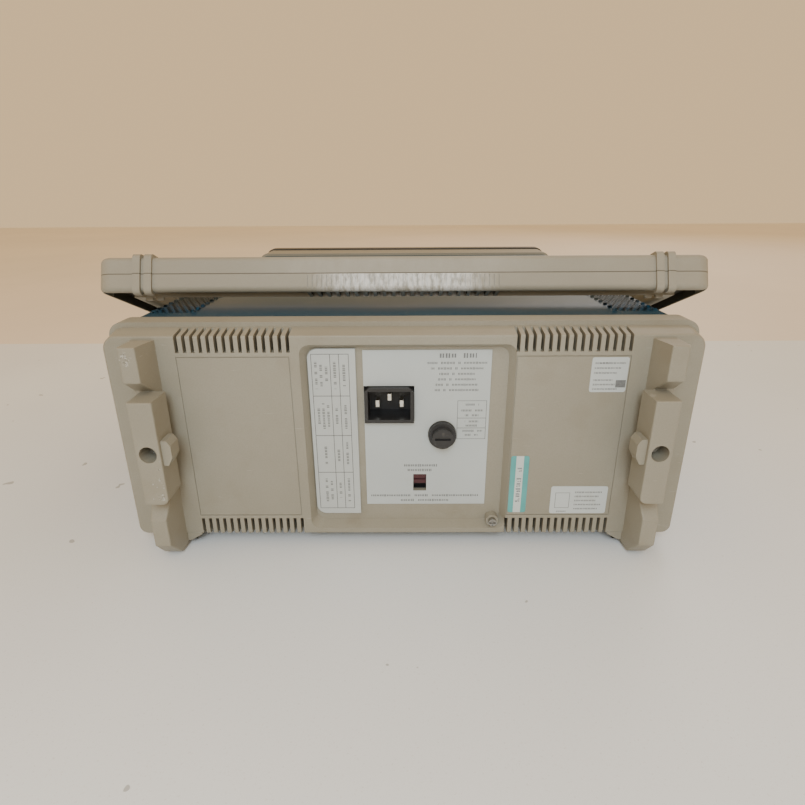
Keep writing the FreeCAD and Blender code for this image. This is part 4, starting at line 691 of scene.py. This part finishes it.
key_names = sorted(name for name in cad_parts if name.startswith("key_") and name != "key_board")
pad_names = [name for name in key_names if len(name) == 5]
cursor_names = [name for name in key_names if len(name) > 5]


def span(names):
    """Lowest and highest corners of several nodes together."""
    corners = [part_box(name) for name in names]
    low = Vector(min(c[0][axis] for c in corners) for axis in range(3))
    high = Vector(max(c[1][axis] for c in corners) for axis in range(3))
    return low, high


material, place = new_material("panel_enamel")
x, y, z = place.axes()
cloud = place.noise(7, 4).between(0.3, 0.75)
colour = cloud.tint((0.37, 0.345, 0.285), (0.41, 0.385, 0.325))
margin = 5 * MM
ink = []
for names in (pad_names, cursor_names):
    low, high = span(names)
    group = ((low.x - margin, high.x + margin), (low.z - margin, high.z + margin))
    ink.append(frame_line(x, z, group, 0.0004))
    ink.append(strokes(x, z, low.x, low.x + 0.03, high.z + margin + 0.0035, 0.002, 0.0026, 3))
for name in ("power_button", "intensity_knob"):
    low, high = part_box(name)
    middle = (low.x + high.x) / 2
    ink.append(strokes(x, z, middle - 0.008, middle + 0.009, low.z - 0.0022, 0.0012, 0.0017, 6))
colour = (sum(ink) * 0.85).tint(colour, (0.05, 0.06, 0.075))
complete(material, colour, 0.48 + 0.1 * cloud, place.noise(2000, 2), 0.00006)
paint(material, "control_panel")

# Keys: double-shot caps, dark grey for the cursor keys and pale for the rest, with raised legends: a
# hexadecimal digit on each key of the square, and an arrow on each cursor key.


def cap_plastic(name, base):
    material, place = new_material(name)
    cloud = place.noise(90, 3).between(0.3, 0.7)
    colour = cloud.tint(base, tuple(c * 1.12 for c in base))
    shine = place.noise(50, 3).between(0.4, 0.7)
    return complete(material, colour, 0.52 - 0.16 * shine, place.noise(2400, 2), 0.00004)


pale_cap = cap_plastic("pale_cap", (0.42, 0.4, 0.34))
dark_cap = cap_plastic("dark_cap", (0.09, 0.09, 0.085))
legend_ink = cap_plastic("legend_ink", (0.03, 0.03, 0.032))
legend_white = cap_plastic("legend_white", (0.6, 0.6, 0.57))
paint(cap_plastic("button_green", (0.05, 0.16, 0.09)), "power_button")


def digit(letter):
    """A digit as a thin raised mesh, standing in the key's face."""
    deselect()
    bpy.ops.object.text_add(location=(0, 0, 0), rotation=(math.pi / 2, 0, 0))
    text = bpy.context.object
    text.data.body = letter
    text.data.size = 6.2 * MM
    text.data.extrude = 0.12 * MM
    text.data.align_x, text.data.align_y = "CENTER", "CENTER"
    bpy.ops.object.convert(target="MESH")
    return bpy.context.object


def arrow(angle):
    """A small triangle that points the way its key moves the cursor."""
    deselect()
    bpy.ops.mesh.primitive_cylinder_add(vertices=3, radius=2.4 * MM, depth=0.24 * MM)
    mark = bpy.context.object
    mark.rotation_euler = (math.pi / 2, angle, 0)
    return mark


arrow_turns = {"key_up": 0, "key_down": math.pi, "key_left": -math.pi / 2, "key_right": math.pi / 2}
for name in key_names:
    low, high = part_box(name)
    is_digit = name in pad_names
    paint(pale_cap if is_digit else dark_cap, name)
    mark = digit(name[-1].upper()) if is_digit else arrow(arrow_turns[name])
    mark.name = name + "_legend"
    mark.location = ((low.x + high.x) / 2, low.y, (low.z + high.z) / 2)
    settle(mark)
    mark.data.materials.append(legend_ink if is_digit else legend_white)
    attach(mark, name + "_cap")

# Covers on the handle's pivots: shallow turned discs with a ring groove, pressed onto the shafts' ends.

for side, hub in ((1, "handle_hub_right"), (-1, "handle_hub_left")):
    low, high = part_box(hub)
    end = high.x if side > 0 else low.x
    middle = ((low.y + high.y) / 2, (low.z + high.z) / 2)
    deselect()
    place_x = end + side * 0.2 * MM
    bpy.ops.mesh.primitive_cylinder_add(vertices=64, radius=8.6 * MM, depth=1.2 * MM,
                                        location=(place_x, *middle), rotation=(0, side * math.pi / 2, 0))
    cover = bpy.context.object
    cover.name = "pivot_cover_right" if side > 0 else "pivot_cover_left"
    settle(cover)
    for polygon in cover.data.polygons:
        polygon.select = polygon.normal.x * side > 0.9
    bpy.ops.object.mode_set(mode="EDIT")
    bpy.ops.mesh.select_mode(type="FACE")
    bpy.ops.mesh.inset(thickness=1.6 * MM)
    bpy.ops.mesh.inset(thickness=0.7 * MM, depth=-0.4 * MM)
    bpy.ops.mesh.inset(thickness=0.5 * MM, depth=0.4 * MM)
    bpy.ops.object.mode_set(mode="OBJECT")
    apply_modifier(cover, "BEVEL", width=0.15 * MM, segments=2, limit_method="ANGLE")
    bpy.ops.object.shade_smooth_by_angle(angle=math.radians(30))
    cover.data.materials.append(bpy.data.materials["hub_moulding"])
    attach(cover, "case")
